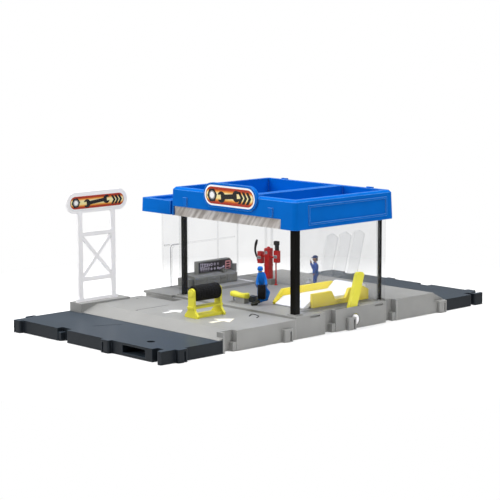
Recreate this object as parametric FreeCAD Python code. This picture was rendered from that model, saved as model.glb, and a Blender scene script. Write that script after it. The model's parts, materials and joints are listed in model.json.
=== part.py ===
import FreeCAD, Part
import math
import os

# Toy auto repair shop for 1:64 cars, in millimetres, +Z up, standing on z = 0.
# +X is the side with the lift lever, -Y is the street front where cars drive in.
# The origin lies on the ground under the middle of the base.

V = FreeCAD.Vector
os.makedirs("parts", exist_ok=True)

# Base modules
base_width = 166.5
front_plate_length = 53.3
forecourt_length = 70.8
shop_length = 108.6
apron_length = 55.7
rear_plate_length = 46.8
road_top = 9.2
forecourt_top = 14.5
shop_top = 16.2
skin = 2.0
side_wall = 2.0
rib = 1.4
rib_pitch_most = 27.5
ramp_run_front = 13.7
ramp_run_rear = 14.4
lip_over = 3.3
lip_thickness = 0.3

# Snap connectors round the edge of the base
lug_width = 9.4
lug_reach = 3.3
lug_height = 9.2
lug_slot = 1.5
lug_lip = 1.7
lug_shoulder = 1.0
notch_width = 11.4
notch_depth = 5.0
notch_step = 3.2
notch_step_height = 6.2
notch_wall = 1.6

# Building
bay_width = 121.0
bay_depth = 91.0
post_inset = 6.5
post_front_from_seam = 5.6
post_size = 5.2
post_plug = 3.0
post_clearance = 0.1
socket_wall = 1.4
socket_lip = 0.8
glass_thickness = 1.5
glass_clearance = 0.15
glass_tab_width = 9.0
glass_tab_depth = 1.4
left_glass_inset = 0.4
left_glass_front = 11.0
platform_height = 2.3
platform_width = 30.0

# Roof
roof_bottom = 78.0
roof_height = 21.6
annex_height = 10.6
roof_deck_rise = 6.0
roof_skin = 2.0
roof_side = 2.4
roof_flare = 1.0
roof_corner = 3.0
roof_over_front = 1.4
roof_over_side = 1.4
roof_over_rear = 5.8
roof_over_left = 6.4
annex_over_left = 6.4
annex_gap = 0.4
rim_width = 5.0
divider_width = 8.0
divider_from_right_post = 47.0
socket_rim = 2.0
socket_depth = 4.0
shutter_height = 7.2
shutter_thickness = 0.9
shutter_left_gap = 3.0
shutter_right_gap = 14.0
shutter_from_front = 1.3
shutter_gap = 0.15
shutter_drop = 0.2
slats = 7
slat_groove = 0.3
plate_width = 57.6
plate_height = 18.5
plate_thickness = 3.0
plate_right_gap = 38.0
plate_rise = 10.0
badge_margin = 1.6
label_thickness = 0.3

# Lift and its lever
axle_z = 6.5
axle_radius = 2.5
axle_head_rim = 1.5
axle_head_gap = 0.7
running_gap = 0.05
press_gap = 0.02
lift_range_deg = 60.0
arm_length = 26.0
arm_rest_deg = 12.0
arm_pivots_apart = 6.0
arm_thickness = 3.0
arm_width = 5.0
arm_tip_radius = 2.8
drive_hub_wall = 1.5
idle_hub_wall = 1.2
idle_shaft_radius = 2.0
pin_radius = 1.5
open_pivot_gap = 0.35
lift_width = 34.5
lift_from_side = 33.25
lift_rear_from_seam = 93.6
pin_from_lift_rear = 5.97
ramp_foot_from_seam = 26.1
ramp_run = 8.0
deck_top = 22.0
deck_thickness = 2.7
kerb_top = 27.0
kerb_width = 2.6
stop_top = 27.6
stop_length = 12.0
kerb_gap_length = 13.0
kerb_gap_past_axle = 0.9
kerb_low = 20.0
lift_rest_gap = 0.3
arm_from_centre = 11.0
bracket_thickness = 1.8
bracket_gap = 0.4
lever_thickness = 3.0
lever_width = 8.3
lever_gap = 0.3
lever_side_wall = 1.0
lever_tip_z = 41.3
lever_tip_forward = 7.1
lever_slot_spare = 2.2

# Tyre rack on the forecourt
rack_from_side = 57.5
rack_from_seam = 49.1
rack_length = 27.5
rack_plate = 2.0
rack_top = 35.7
rack_top_radius = 3.1
rack_foot_width = 14.0
rack_shelf_rise = 6.5
rack_shelf = 1.6
rack_shelf_width = 6.0
rack_shelf_past = 1.0
rack_foot_bar = 2.0
rack_foot_bar_width = 10.0
roller_z = 31.9
roller_radius = 5.8
roller_rings = 9
ring_groove = 0.7
ring_slope = 0.56
trunnion_radius = 1.6
trunnion_inset = 0.4
roller_end_gap = 0.3

# Roadside sign
sign_inset = 7.5
sign_thickness = 2.0
sign_board_bottom = 83.5
sign_board_height = 15.7
sign_board_length = 57.4
sign_centre_from_seam = 53.7
sign_post_front_from_seam = 70.0
sign_post_rear_from_seam = 38.7
sign_post_width = 3.9
sign_low_bar_z = 33.0
sign_high_bar_z = 67.2
sign_bar = 3.1
plinth_height = 1.6
plinth_width = 14.0
plinth_length = 47.0
plinth_inset = 1.0
sign_foot_depth = 1.2
sign_foot_height = 2.4
sign_brace = 2.6
sign_brace_inset = 0.2
sign_badge_margin = 2.2

# Workbench
bench_from_platform = 18.8
bench_depth = 19.0
bench_from_seam = 26.0
bench_length = 45.0
bench_top = 26.5
bench_panel_top = 37.0
bench_panel = 4.0

# Service machine by the rear glass
machine_from_platform = 6.3
machine_from_seam = 88.9
machine_base = 4.4
machine_base_width = 11.2
machine_base_depth = 6.0
machine_column = 4.8
machine_column_top = 45.0
machine_box_width = 4.4
machine_box_depth = 3.4
machine_left_bottom = 32.0
machine_right_bottom = 34.4
machine_box_height = 9.6
machine_arm_left = 9.0
machine_arm_right = 9.6
machine_bar = 1.4
machine_bar_height = 1.4
machine_bar_z = 37.5
gun_rise = 7.6
gun_head_height = 3.4
gun_width = 3.4
gun_nose = 0.8
hose_radius = 0.8
hose_rise = 12.0

# Figures, carried tyre and small goods
stand_from_lift = 36.95
stand_from_seam = 91.4
stand_height = 28.3
carry_from_lift = 26.0
carry_from_seam = 21.5
carry_turn_deg = 46.6
carry_height = 29.4
carry_tyre_x = 1.0
carry_tyre_y = -5.4
carry_tyre_z = 9.6
tyre_radius = 5.5
tyre_width = 6.0
tyre_bore = 2.8
tyre_shoulder = 0.9
chest_from_lift = 37.8
chest_from_seam = 20.3
chest_length = 5.4
chest_depth = 4.8
chest_height = 5.0
can_from_figure = 6.85
can_from_seam = 91.6
can_radius = 2.6
can_height = 9.0
cradle_from_lift = 40.4
cradle_from_seam = 14.1
cradle_length = 17.6
cradle_depth = 6.4
cradle_height = 4.8
cradle_arc = 15.0
cradle_corner = 2.2
cradle_block_width = 9.4
cradle_block_depth = 4.6
cradle_block_height = 3.9
cradle_leg_radius = 0.55

# Places worked out from the sizes above
side_x = base_width / 2
total_length = front_plate_length + forecourt_length + shop_length + apron_length + rear_plate_length
y_front = -total_length / 2
y_forecourt = y_front + front_plate_length
y_shop = y_forecourt + forecourt_length
y_apron = y_shop + shop_length
y_rear_plate = y_apron + apron_length
y_rear = total_length / 2
post_right_x = side_x - post_inset
post_left_x = post_right_x - bay_width
post_front_y = y_shop + post_front_from_seam
post_rear_y = post_front_y + bay_depth
post_half = post_size / 2
roof_left = post_left_x - post_half - roof_over_left
roof_right = post_right_x + post_half + roof_over_side
roof_front = post_front_y - post_half - roof_over_front
roof_rear = post_rear_y + post_half + roof_over_rear
roof_top = roof_bottom + roof_height
annex_top = roof_bottom + annex_height
roof_deck_under = roof_bottom + roof_deck_rise
plate_bottom = roof_bottom + plate_rise
annex_left = -side_x - annex_over_left
roof_deck_top = roof_deck_under + roof_skin
platform_top = shop_top + platform_height
platform_right = post_left_x + 1.2
platform_left = platform_right - platform_width
lift_centre_x = side_x - lift_from_side
lift_rear = y_shop + lift_rear_from_seam
ramp_foot_y = y_shop + ramp_foot_from_seam
ramp_crest_y = ramp_foot_y + ramp_run
rack_x = side_x - rack_from_side
rack_front_y = y_shop - rack_from_seam
sign_x = -side_x + sign_inset
sign_centre_y = y_shop - sign_centre_from_seam
sign_post_front_y = y_shop - sign_post_front_from_seam
sign_post_rear_y = y_shop - sign_post_rear_from_seam
bench_front_x = platform_left + bench_from_platform
bench_back_x = bench_front_x - bench_depth
bench_front_y = y_shop + bench_from_seam
bench_rear_y = bench_front_y + bench_length
machine_x = platform_right + machine_from_platform
machine_y = y_shop + machine_from_seam
stand_x = lift_centre_x - stand_from_lift
stand_y = y_shop + stand_from_seam
carry_x = lift_centre_x - carry_from_lift
carry_y = y_shop + carry_from_seam
chest_x = lift_centre_x - chest_from_lift
chest_y = y_shop + chest_from_seam
can_x = stand_x - can_from_figure
can_y = y_shop + can_from_seam
cradle_x = lift_centre_x - cradle_from_lift
cradle_y = y_shop + cradle_from_seam

# Cutting tools run past the piece by this much
past = 1.0


def box(x0, x1, y0, y1, z0, z1):
    return Part.makeBox(x1 - x0, y1 - y0, z1 - z0, V(x0, y0, z0))


def cylinder_x(x0, x1, y, z, radius):
    return Part.makeCylinder(radius, x1 - x0, V(x0, y, z), V(1, 0, 0))


def cylinder_y(y0, y1, x, z, radius):
    return Part.makeCylinder(radius, y1 - y0, V(x, y0, z), V(0, 1, 0))


def cylinder_z(z0, z1, x, y, radius):
    return Part.makeCylinder(radius, z1 - z0, V(x, y, z0), V(0, 0, 1))


def polygon_face(points):
    return Part.Face(Part.makePolygon(points + [points[0]]))


def prism_x(outline, x0, x1):
    # outline holds (y, z) corners
    return polygon_face([V(x0, y, z) for y, z in outline]).extrude(V(x1 - x0, 0, 0))


def prism_y(outline, y0, y1):
    # outline holds (x, z) corners
    return polygon_face([V(x, y0, z) for x, z in outline]).extrude(V(0, y1 - y0, 0))


def prism_z(outline, z0, z1):
    # outline holds (x, y) corners
    return polygon_face([V(x, y, z0) for x, y in outline]).extrude(V(0, 0, z1 - z0))


def fuse(shapes):
    shapes = list(shapes)
    return shapes[0].multiFuse(shapes[1:]) if len(shapes) > 1 else shapes[0]


def cut(shape, tools):
    return shape.cut(Part.makeCompound(list(tools)))


def save(name, shape):
    shape = shape.removeSplitter()
    solids = shape.Solids
    if not shape.isValid() or not solids:
        raise ValueError(name + " is not a valid solid")
    shape.exportStep("parts/" + name + ".step")
    print(name, len(solids), "solid(s)", round(shape.Volume, 1), "mm3")


def steps(start, end, pitch_most):
    # edges of equal cells between start and end, none wider than pitch_most
    count = max(1, math.ceil((end - start) / pitch_most))
    return [start + (end - start) * i / count for i in range(count + 1)]


def rounded_rectangle(x0, x1, y0, y1, z, radius):
    # closed wire of four lines and four arcs
    points = []
    edges = []
    half = radius * math.sqrt(0.5)
    for cx, cy, sx, sy in ((x1 - radius, y0 + radius, 1, -1), (x1 - radius, y1 - radius, 1, 1),
                           (x0 + radius, y1 - radius, -1, 1), (x0 + radius, y0 + radius, -1, -1)):
        down = V(cx, cy + sy * radius, z)
        across = V(cx + sx * radius, cy, z)
        first, last = (down, across) if sx * sy < 0 else (across, down)
        points.append((first, V(cx + sx * half, cy + sy * half, z), last))
    for i, (first, middle, last) in enumerate(points):
        edges.append(Part.Arc(first, middle, last).toShape())
        edges.append(Part.LineSegment(last, points[(i + 1) % 4][0]).toShape())
    return Part.Wire(edges)


def flared_block(x0, x1, y0, y1, z0, z1, flare, radius):
    # block with round upright corners whose foot stands out by flare
    foot = rounded_rectangle(x0 - flare, x1 + flare, y0 - flare, y1 + flare, z0, radius + flare)
    head = rounded_rectangle(x0, x1, y0, y1, z1, radius)
    return Part.makeLoft([foot, head], True, True)


def stadium_x(x0, x1, y_centre, z0, z1, length):
    # flat plate across X with round ends along Y
    radius = (z1 - z0) / 2
    z = z0 + radius
    half = length / 2 - radius
    middle = box(x0, x1, y_centre - half, y_centre + half, z0, z1)
    ends = [cylinder_x(x0, x1, y_centre + s * half, z, radius) for s in (-1, 1)]
    return fuse([middle] + ends)


def stadium_y(y0, y1, x_centre, z0, z1, length):
    radius = (z1 - z0) / 2
    z = z0 + radius
    half = length / 2 - radius
    middle = box(x_centre - half, x_centre + half, y0, y1, z0, z1)
    ends = [cylinder_y(y0, y1, x_centre + s * half, z, radius) for s in (-1, 1)]
    return fuse([middle] + ends)


# Edge connectors, drawn on the +X side with the lip towards +Y, then turned to their side
def place_on_side(shape, side, along):
    # side is right, left, front or rear, and along is where the connector starts on it
    if side == "right":
        shape.translate(V(side_x, along, 0))
    elif side == "left":
        shape = shape.mirror(V(0, 0, 0), V(1, 0, 0))
        shape.translate(V(-side_x, along, 0))
    elif side == "front":
        shape.rotate(V(0, 0, 0), V(0, 0, 1), -90)
        shape = shape.mirror(V(0, 0, 0), V(1, 0, 0))
        shape.translate(V(along + lug_width, y_front, 0))
    else:
        shape.rotate(V(0, 0, 0), V(0, 0, 1), 90)
        shape.translate(V(along + lug_width, y_rear, 0))
    return shape


def lug(side, along):
    inner = -side_wall
    nose = lug_width - lug_lip - lug_slot
    outline = [(inner, lug_shoulder), (lug_reach - 1.0, lug_shoulder), (lug_reach - 0.3, lug_shoulder + 0.3),
               (lug_reach, lug_shoulder + 1.0), (lug_reach, lug_width - 0.6),
               (lug_reach - 0.6, lug_width), (inner, lug_width)]
    body = prism_z(outline, 0, lug_height)
    slot = box(0.8, lug_reach + 1, nose, nose + lug_slot, -1, lug_height - 1.6)
    return place_on_side(body.cut(slot), side, along)


def notch_block(side, along, top):
    block = box(-notch_depth - notch_wall, -0.01, -notch_wall, notch_width + notch_wall, 0, top)
    return place_on_side(block, side, along)


def notch_tool(side, along, top):
    hollow = box(-notch_depth, 1, 0, notch_width, -1, top + 1)
    step_block = box(-notch_depth - 1, -0.6, notch_width - notch_step, notch_width + 1, -2, notch_step_height)
    return place_on_side(hollow.cut(step_block), side, along)


# A base module is a moulded lid: a skin on side walls, with ribs on its underside
def module(top_line, keep_free=()):
    # top_line holds (y, z) corners of the running surface from front to rear
    y0 = top_line[0][0]
    y1 = top_line[-1][0]
    outer = prism_x([(y0, 0)] + list(top_line) + [(y1, 0)], -side_x, side_x)
    lowered = prism_x([(y0, -1)] + [(y, z - skin) for y, z in top_line] + [(y1, -1)],
                      -side_x, side_x)
    cells = []
    xs = steps(-side_x + side_wall - rib / 2, side_x - side_wall + rib / 2, rib_pitch_most)
    ys = steps(y0 + side_wall - rib / 2, y1 - side_wall + rib / 2, rib_pitch_most)
    for xa, xb in zip(xs, xs[1:]):
        for ya, yb in zip(ys, ys[1:]):
            cells.append(box(xa + rib / 2, xb - rib / 2, ya + rib / 2, yb - rib / 2, -1, 40))
    hollow = fuse(cells).common(lowered)
    for solid_part in keep_free:
        hollow = hollow.cut(solid_part)
    return outer.cut(hollow)


def with_connectors(shape, lugs, notches, top):
    blocks = [notch_block(side, along, top) for side, along in notches]
    tools = [notch_tool(side, along, top) for side, along in notches]
    shape = fuse([shape] + blocks) if blocks else shape
    shape = cut(shape, tools) if tools else shape
    return fuse([shape] + [lug(side, along) for side, along in lugs])


# Connector places: along X on the front and rear edges, along Y on the two sides
front_lugs = [("front", -side_x), ("front", side_x - 63.5), ("right", y_front + 9.0), ("left", y_front + 9.0)]
front_notches = [("front", -31.65)]
forecourt_lugs = [("right", y_shop - 15.0), ("left", y_forecourt + 1.8)]
forecourt_notches = [("right", y_forecourt + 1.8)]
shop_lugs = [("right", y_shop + 50.9), ("left", y_shop + 29.8)]
shop_notches = [("right", y_shop + 29.8), ("right", y_apron - notch_width - notch_wall)]
apron_lugs = [("right", y_rear_plate - 10.7), ("left", y_rear_plate - 10.7)]
rear_lugs = [("rear", -21.0), ("rear", 65.0)]
rear_notches = [("rear", 20.0), ("rear", -66.0)]


# Front road plate with the dark slot window and a round locating hole
window_x = (side_x - 43.5, side_x - 19.5)
window_z = (2.0, 7.6)
window_depth = 12.0
window_wall = 1.6
hole_x = side_x - 32.1
hole_y = y_front + 15.9
hole_radius = 3.0
hole_wall = 1.5
corner_notch_x = (side_x - 12.2, side_x - 5.5)
corner_notch_wall = 1.6
corner_lug_width = 3.6
corner_lug_reach = 2.6
edge_step_depth = 1.2
edge_step_y = y_front + 14.7
groove_x = -16.7
groove_y = y_front + 32.6
groove_length = 21.4
groove_turn_deg = 25.0
groove_width = 1.0
groove_depth = 0.6


def front_road_plate():
    line = [(y_front, road_top), (y_forecourt, road_top)]
    plate = module(line)
    plate = with_connectors(plate, front_lugs, front_notches, road_top)
    window = box(window_x[0], window_x[1], y_front - past, y_front + window_depth, window_z[0], window_z[1])
    sleeve = cylinder_z(0, road_top, hole_x, hole_y, hole_radius + hole_wall)
    bore = cylinder_z(-past, road_top + past, hole_x, hole_y, hole_radius)
    corner = box(corner_notch_x[0], corner_notch_x[1], y_front - past, y_front + notch_depth,
                 -past, road_top + past)
    corner_wall = box(corner_notch_x[0] - corner_notch_wall, corner_notch_x[1] + corner_notch_wall,
                      y_front, y_front + notch_depth + corner_notch_wall, 0, road_top)
    corner_lug = box(side_x - corner_lug_width, side_x, y_front - corner_lug_reach, y_front, 0, lug_height)
    floor = box(window_x[0] - window_wall, window_x[1] + window_wall,
                y_front, y_front + window_depth + window_wall, 0, road_top)
    plate = fuse([plate, sleeve, corner_wall, corner_lug, floor])
    edge_step = box(-side_x - past, -side_x + edge_step_depth, y_front - 2 * lug_reach, edge_step_y,
                    -past, road_top + past)
    groove = box(groove_x - groove_width / 2, groove_x + groove_width / 2, groove_y - groove_length / 2,
                 groove_y + groove_length / 2, road_top - groove_depth, road_top + past)
    groove.rotate(V(groove_x, groove_y, 0), V(0, 0, 1), -groove_turn_deg)
    return cut(plate, [window, bore, corner, edge_step, groove])


# Forecourt tile with its front ramp, the sign plinth and the wash gutter
gutter_y = (y_shop - 12.4, y_shop - 2.4)
gutter_x = (-side_x + 10.0, -side_x + 47.25)
gutter_wall = 2.0
gutter_depth = 3.0
cove_depth = 10.0
cove_y = (y_shop - 28.4, y_shop)
plinth_y = (y_shop - 75.4, y_shop - 75.4 + plinth_length)
plinth_top = forecourt_top + plinth_height
sign_plug_length = 8.0
rack_tab_length = 5.0
rack_tab_depth = 1.4


def forecourt_line():
    crest = y_forecourt - lip_over + ramp_run_front
    rise = (forecourt_top - road_top - lip_thickness) / ramp_run_front
    return [(y_forecourt, road_top + lip_thickness + rise * lip_over), (crest, forecourt_top),
            (y_shop, forecourt_top)]


def sign_plug_box(y, grow):
    half = sign_plug_length / 2 + grow
    thick = sign_thickness / 2 + grow
    foot = plinth_top - sign_foot_depth - grow
    return box(sign_x - thick, sign_x + thick, y - half, y + half, foot, plinth_top)


def rack_tabs(grow):
    tabs = []
    for y in (rack_front_y + rack_plate / 2, rack_front_y + rack_length - rack_plate / 2):
        tabs.append(box(rack_x - rack_tab_length / 2 - grow, rack_x + rack_tab_length / 2 + grow,
                        y - rack_plate / 2 - grow, y + rack_plate / 2 + grow,
                        forecourt_top - rack_tab_depth - grow, forecourt_top))
    return tabs


def forecourt_tile():
    line = forecourt_line()
    gutter_floor = box(gutter_x[0] - gutter_wall, gutter_x[1] + gutter_wall, gutter_y[0] - gutter_wall, y_shop,
                       0, forecourt_top)
    cove_wall = box(-side_x, -side_x + cove_depth + side_wall, cove_y[0] - side_wall, cove_y[1],
                    0, forecourt_top)
    tile = module(line, [gutter_floor, cove_wall])
    lip = prism_x([(y_forecourt - lip_over, road_top), (y_forecourt - lip_over, road_top + lip_thickness),
                   (line[0][0], line[0][1]), (y_forecourt, road_top)], -side_x + 0.6, side_x - 0.6)
    plinth = box(-side_x + plinth_inset, -side_x + plinth_inset + plinth_width,
                 plinth_y[0], plinth_y[1], road_top, plinth_top)
    tile = fuse([tile, lip, plinth])
    tile = with_connectors(tile, forecourt_lugs, forecourt_notches, forecourt_top)
    cove = box(-side_x - past, -side_x + cove_depth, cove_y[0], cove_y[1] + past, -past, forecourt_top + past)
    gutter = box(gutter_x[0] - past, gutter_x[1], gutter_y[0], gutter_y[1],
                 forecourt_top - gutter_depth, forecourt_top + past)
    gutter_hollow = box(gutter_x[0] + gutter_wall, gutter_x[1] - gutter_wall, gutter_y[0] + past,
                        gutter_y[1] - past, -past, forecourt_top - gutter_depth - skin)
    plugs = [sign_plug_box(y, post_clearance) for y in (sign_post_front_y, sign_post_rear_y)]
    return cut(tile, [cove, gutter, gutter_hollow] + plugs + rack_tabs(post_clearance))


# Shop base: post sockets, glass slots, raised platform, lift pit and bearings
drive_pin_y = lift_rear - pin_from_lift_rear
rest_angle = math.radians(arm_rest_deg)
axle_y = drive_pin_y - arm_length * math.cos(rest_angle)
arm_spacing = arm_length + arm_pivots_apart
idle_y = axle_y - arm_spacing
idle_pin_y = drive_pin_y - arm_spacing
pin_z = axle_z + arm_length * math.sin(rest_angle)
pit_x = (lift_centre_x - 20.0, side_x - side_wall)
pit_y = (idle_y - 7.7, lift_rear - 0.5)
web_thickness = 2.4
web_inset = 0.25
web_left_x = lift_centre_x - lift_width / 2 + web_inset
web_right_x = lift_centre_x + lift_width / 2 - web_thickness - web_inset
web_past_pivots = 4.7
web_bottom = 2.2
lever_x1 = side_x - lever_side_wall - lever_gap
lever_x0 = lever_x1 - lever_thickness
lever_lean = math.atan2(lever_tip_forward, lever_tip_z - axle_z)
lever_swing = math.radians(lift_range_deg) - lever_lean
lever_slot_y = (axle_y - (shop_top - axle_z) * math.tan(lever_swing)
                - lever_width / 2 / math.cos(lever_swing) - lever_slot_spare,
                axle_y + lever_width / 2 + lever_slot_spare)
arm_inner = arm_from_centre - arm_thickness / 2
cover_thickness = 1.7
cover_lift = 0.3
cover_gap = 0.3
cover_x = (pit_x[0] + cover_gap, side_x - notch_depth - notch_wall - cover_gap)
cover_y = (pit_y[0] + cover_gap, pit_y[1] - cover_gap)
cover_screws_at = [(lift_centre_x, pit_y[0] + 23.0), (lift_centre_x, pit_y[0] + 57.0),
                   (side_x - 10.25, pit_y[0] + 4.6), (side_x - 10.25, pit_y[1] - 5.0)]
axle_head_radius = axle_radius + axle_head_rim
drive_hub_radius = axle_radius + drive_hub_wall
idle_hub_radius = idle_shaft_radius + idle_hub_wall
screw_radius = 1.1
screw_head_radius = 2.4
screw_head_height = 1.0
screw_length = 8.0
screw_gap = 0.03
screw_end_gap = 0.4
screw_cross = 1.3
screw_cross_width = 0.5
boss_radius = 3.0
platform_from_posts = 22.0
platform_past_posts = 5.0
front_lip_width = 24.0
posts_at = {"column_front_right": (post_right_x, post_front_y),
            "column_front_left": (post_left_x, post_front_y),
            "column_rear_right": (post_right_x, post_rear_y),
            "clear_corner_post": (post_left_x, post_rear_y)}


def glass_walls():
    # name: (x0, x1, y0, y1, floor z, axis the wall runs along)
    half = glass_thickness / 2
    edge = post_size / 2 + glass_clearance
    left_x = -side_x + left_glass_inset + half
    return {
        "clear_wall_right": (post_right_x - half, post_right_x + half,
                             post_front_y + edge, post_rear_y - edge, shop_top, "y"),
        "clear_wall_rear": (post_left_x + edge, post_right_x - edge,
                            post_rear_y - half, post_rear_y + half, shop_top, "x"),
        "clear_wall_rear_annex": (left_x + half + glass_clearance, post_left_x - edge,
                                  post_rear_y - half, post_rear_y + half, shop_top, "x"),
        "clear_wall_left": (left_x - half, left_x + half,
                            post_front_y + left_glass_front, post_rear_y + half, shop_top, "y"),
    }


def glass_tabs(wall, grow):
    x0, x1, y0, y1, floor, axis = wall
    tabs = []
    for share in (0.25, 0.75):
        if axis == "y":
            middle = y0 + (y1 - y0) * share
            half = glass_tab_width / 2
            tabs.append(box(x0 - grow, x1 + grow, middle - half - grow, middle + half + grow,
                            floor - glass_tab_depth - grow, floor))
        else:
            middle = x0 + (x1 - x0) * share
            half = glass_tab_width / 2
            tabs.append(box(middle - half - grow, middle + half + grow, y0 - grow, y1 + grow,
                            floor - glass_tab_depth - grow, floor))
    return tabs


def arm_slots():
    # slots in the floor for the arms and for the brackets under the deck
    slots = []
    side_gap = 0.4
    end_gap = 0.6
    for sign in (-1, 1):
        near = arm_inner - bracket_gap - bracket_thickness - side_gap
        far = arm_inner + arm_thickness + end_gap
        xa, xb = sorted((lift_centre_x + sign * near, lift_centre_x + sign * far))
        for pivot_y in (axle_y, idle_y):
            slots.append(box(xa, xb, pivot_y - 2 * end_gap, pivot_y + arm_length + arm_tip_radius + end_gap,
                             shop_top - skin - past, shop_top + past))
    return slots


def side_vents():
    # two shallow grooves in the right edge under the glass
    spans = ((y_shop + 14.2, y_shop + 24.5), (y_shop + 83.4, y_shop + 92.3))
    return [box(side_x - 1.2, side_x + past, y0, y1, shop_top - 2.3, shop_top - 1.1) for y0, y1 in spans]


def shop_base():
    line = [(y_shop, shop_top), (y_apron, shop_top)]
    pit = box(pit_x[0] - rib, pit_x[1] + side_wall, pit_y[0] - rib, pit_y[1] + rib, -past, shop_top)
    base = module(line, [pit])
    base = cut(base, [box(pit_x[0], pit_x[1], pit_y[0], pit_y[1], -past, shop_top - skin)])
    platform = box(platform_left, platform_right, post_front_y + platform_from_posts,
                   post_rear_y + platform_past_posts, shop_top - skin / 2, platform_top)
    front_lip = box(-side_x, gutter_x[0] + front_lip_width, gutter_y[1], y_shop, forecourt_top, shop_top)
    pieces = [platform, front_lip]
    for x, y in posts_at.values():
        half = post_half + socket_wall
        x1 = min(x + half, side_x - 0.4)
        foot = shop_top - skin - post_plug
        pieces.append(box(x - half, x1, y - half, y + half, foot, shop_top + socket_lip))
    for web_x in (web_left_x, web_right_x):
        pieces.append(box(web_x, web_x + web_thickness, idle_y - web_past_pivots, axle_y + web_past_pivots,
                          web_bottom, shop_top - skin))
    for x, y in cover_screws_at:
        pieces.append(cylinder_z(cover_lift + cover_thickness, shop_top - skin, x, y, boss_radius))
    base = fuse([base] + pieces)
    base = with_connectors(base, shop_lugs, shop_notches, shop_top)
    tools = arm_slots()
    for x, y in posts_at.values():
        half = post_half + post_clearance
        foot = shop_top - post_plug - post_clearance
        tools.append(box(x - half, x + half, y - half, y + half, foot, platform_top + past))
    for wall in glass_walls().values():
        tools.extend(glass_tabs(wall, post_clearance))
        x0, x1, y0, y1, floor, axis = wall
        tools.append(box(x0 - post_clearance, x1 + post_clearance, y0 - post_clearance, y1 + post_clearance,
                         shop_top, platform_top + past))
    tools.append(box(lever_x0 - lever_gap, lever_x1 + lever_gap, lever_slot_y[0], lever_slot_y[1],
                     -past, shop_top + past))
    tools.append(cylinder_x(lever_x0, side_x + past, axle_y, axle_z, axle_head_radius + axle_head_gap))
    far = web_right_x + web_thickness + past
    for pivot_y, radius in ((axle_y, axle_radius), (idle_y, idle_shaft_radius)):
        tools.append(cylinder_x(web_left_x - past, far, pivot_y, axle_z, radius + running_gap))
    for x, y in cover_screws_at:
        tools.append(cylinder_z(cover_lift, cover_lift + screw_head_height + screw_length + screw_end_gap, x, y,
                                screw_radius + screw_gap))
    return cut(base, tools + side_vents())


def mechanism_cover():
    z0 = cover_lift
    z1 = cover_lift + cover_thickness
    plate = box(cover_x[0], cover_x[1], cover_y[0], cover_y[1], z0, z1)
    tools = []
    for x, y in cover_screws_at:
        tools.append(cylinder_z(z0 - past, z1 + past, x, y, screw_radius + post_clearance))
        tools.append(cylinder_z(z0 - past, z0 + screw_head_height, x, y, screw_head_radius + post_clearance))
    return cut(plate, tools)


def cover_screws():
    screws = []
    for x, y in cover_screws_at:
        head = cylinder_z(cover_lift, cover_lift + screw_head_height, x, y, screw_head_radius)
        shank = cylinder_z(cover_lift, cover_lift + screw_head_height + screw_length, x, y, screw_radius)
        half = screw_cross_width / 2
        deep = cover_lift + screw_cross_width
        cross = [box(x - screw_cross, x + screw_cross, y - half, y + half, 0, deep),
                 box(x - half, x + half, y - screw_cross, y + screw_cross, 0, deep)]
        screws.append(cut(head.fuse(shank), cross))
    return Part.makeCompound(screws)


# Rear apron and rear road plate
recess_depth = 1.4
recess_from_crest = 1.3


def rear_apron():
    line = [(y_apron, shop_top), (y_rear_plate - ramp_run_rear, shop_top),
            (y_rear_plate - lip_thickness, road_top + lip_thickness), (y_rear_plate, road_top)]
    apron = module(line)
    apron = with_connectors(apron, apron_lugs, [], road_top)
    side_y = y_rear_plate - ramp_run_rear + recess_from_crest
    recess = box(side_x - recess_depth, side_x + past, side_y, y_rear_plate + past, road_top, shop_top + past)
    return apron.cut(recess)


rear_plug_y = (y_rear - 15.0, y_rear + 1.0)
rear_cut_depth = 7.5


def rear_road_plate():
    line = [(y_rear_plate, road_top), (y_rear, road_top)]
    corner_block = box(side_x - rear_cut_depth - side_wall, side_x, rear_plug_y[0] - side_wall, y_rear,
                       0, road_top)
    plate = fuse([module(line), corner_block])
    plate = with_connectors(plate, rear_lugs, rear_notches, road_top)
    corner = box(side_x - rear_cut_depth, side_x + past, rear_plug_y[0], rear_plug_y[1], -past, road_top + past)
    clip = prism_z([(side_x - rear_cut_depth, y_rear - 10.0), (side_x - 1.0, y_rear - 10.0),
                    (side_x, y_rear - 9.0), (side_x, y_rear - 0.6), (side_x - 1.2, y_rear + 0.4),
                    (side_x - 3.0, y_rear + 0.4), (side_x - 3.0, y_rear - 6.5),
                    (side_x - rear_cut_depth, y_rear - 6.5)], 0, lug_height)
    return plate.cut(corner).fuse(clip)


# Posts and glass
post_edge = 0.5


def upright_edges(shape):
    return [e for e in shape.Edges if abs(e.tangentAt(e.FirstParameter).z) > 0.99]


def square_post(x, y):
    foot = shop_top - post_plug
    post = box(x - post_half, x + post_half, y - post_half, y + post_half, foot, roof_deck_under)
    return post.makeFillet(post_edge, upright_edges(post))


def wall_panel(name):
    wall = glass_walls()[name]
    x0, x1, y0, y1, floor, axis = wall
    top = roof_deck_under - 0.2
    return fuse([box(x0, x1, y0, y1, floor, top)] + glass_tabs(wall, 0))


bars_bottom_z = 40.0
bars_top_z = 70.5
bars_from_post = (23.4, 37.6, 51.8)
bar_foot_width = 12.2
bar_lean = 7.6
bar_proud = 0.8
bar_peak = 1.6
bar_shoulder = 2.0


def clear_wall_right():
    panel = wall_panel("clear_wall_right")
    face = post_right_x + glass_thickness / 2
    bars = []
    for start in bars_from_post:
        y = post_front_y + start
        outline = [(y, bars_bottom_z), (y + bar_foot_width, bars_bottom_z),
                   (y + bar_foot_width + bar_lean, bars_top_z - bar_shoulder),
                   (y + bar_foot_width * 0.55 + bar_lean, bars_top_z + bar_peak), (y + bar_lean, bars_top_z)]
        bars.append(prism_x(outline, face - 0.1, face + bar_proud))
    return fuse([panel] + bars)


line_width = 0.9
line_proud = 0.4
mould_line_z = 49.5
arch_radius = 5.0


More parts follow.
